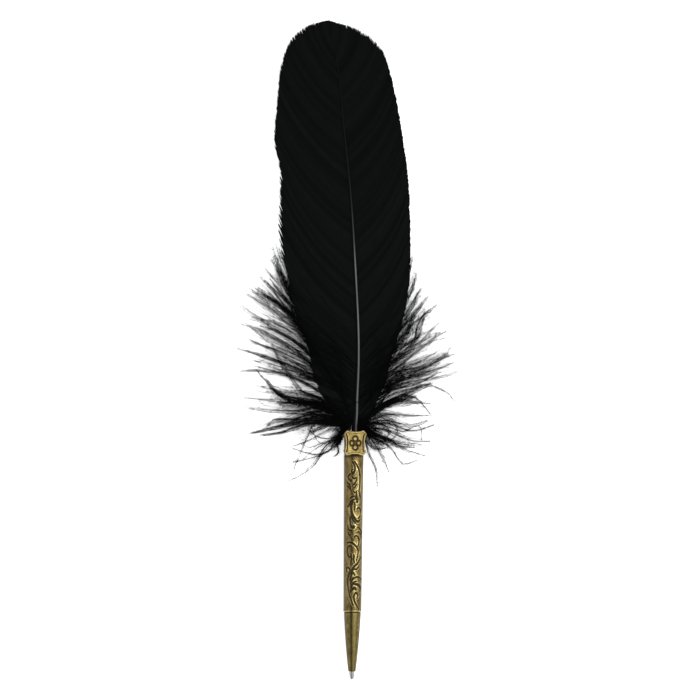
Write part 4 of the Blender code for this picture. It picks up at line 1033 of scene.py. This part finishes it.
def down(name, paths, thickness, random, under):
    """A mass of down as one mesh: its barbs and all their barbules."""
    half_width = DOWN_BARB_HALF_WIDTH * (1.1 - DOWN_STEPS) ** 0.55 * thickness[:, None]
    barb_points, barb_faces, each = blades(paths, half_width, 0.8, 3)
    spike_points, spike_faces, per_spike = bristling(paths, random, under)
    points = laid(np.vstack([barb_points, spike_points]))
    faces = barb_faces + (spike_faces + len(barb_points)).tolist()
    piece = body(name, points, faces, down_black, "feather", "feather", crease=180)
    tone = np.concatenate([np.repeat(random.random(len(paths)), each),
                           np.repeat(random.random(len(spike_points) // per_spike), per_spike)])
    carry(piece, "tone", tone)


down_black = feather_black("down_black", 0.7)
down_random = np.random.default_rng(31)
for down_name, tufts, edge, hand, gaps, rows, singles, strands in (
        ("left_down", LEFT_TUFTS, LEFT_EDGE, -1, LEFT_GAPS, LEFT_VANE, LOOSE_BARBS[0], MATTED_BARBS[0]),
        ("right_down", RIGHT_TUFTS, RIGHT_EDGE, 1, RIGHT_GAPS, RIGHT_VANE, LOOSE_BARBS[1], MATTED_BARBS[1])):
    masses = (tufted(tufts, down_random), loose(edge, hand, singles, gaps, down_random),
              loose(edge, hand, strands, gaps, down_random, matted=True))
    side_paths, side_thickness = [np.concatenate(pair) for pair in zip(*masses)]
    high_up = side_paths[:, -1, 1] > UPPER_DOWN
    down(down_name + "_upper", side_paths[high_up], side_thickness[high_up], down_random, rows)
    down(down_name + "_lower", side_paths[~high_up], side_thickness[~high_up], down_random, rows)
down("face_down", *tufted(FACE_TUFTS, down_random), down_random, RIGHT_VANE)


# The pen lies on a plain white light table in an even studio light: a bright room, a soft box on
# either side and a long narrow one overhead, which draws the bright streak down the brass.
ROOM_LIGHT = 0.68
TABLE_GLOW = 0.6
scene = bpy.context.scene
scene.view_settings.view_transform = "Standard"
world = bpy.data.worlds.new("room")
scene.world = world
world.use_nodes = True
world.node_tree.nodes["Background"].inputs["Color"].default_value = (1.0, 1.0, 1.0, 1)
world.node_tree.nodes["Background"].inputs["Strength"].default_value = ROOM_LIGHT

floor_mesh = bpy.data.meshes.new("surface")
floor_mesh.from_pydata([(-3, -3, 0), (3, -3, 0), (3, 3, 0), (-3, 3, 0)], [], [(0, 1, 2, 3)])
floor = bpy.data.objects.new("surface", floor_mesh)
floor_white = finish("white_surface", (0.93, 0.93, 0.93), 0.0, 0.9, specular=0.1)
floor_white.node_tree.nodes["Principled BSDF"].inputs["Emission Color"].default_value = (1, 1, 1, 1)
floor_white.node_tree.nodes["Principled BSDF"].inputs["Emission Strength"].default_value = TABLE_GLOW
floor_mesh.materials.append(floor_white)
scene.collection.objects.link(floor)


def soft_box(name, place, size, power):
    """An area light that faces the pen."""
    light = bpy.data.lights.new(name, "AREA")
    light.shape = "RECTANGLE"
    light.size, light.size_y = size
    light.energy = power
    lamp = bpy.data.objects.new(name, light)
    lamp.location = place
    lamp.rotation_euler = (-Vector(place)).to_track_quat("-Z", "Y").to_euler()
    scene.collection.objects.link(lamp)


soft_box("soft_box_right", (0.55, 0.1, 0.75), (0.35, 1.0), 2.5)
soft_box("soft_box_left", (-0.75, 0.0, 0.6), (0.25, 1.0), 1.2)
soft_box("strip_overhead", (0.38, 0.0, 1.14), (0.17, 1.4), 4.2)
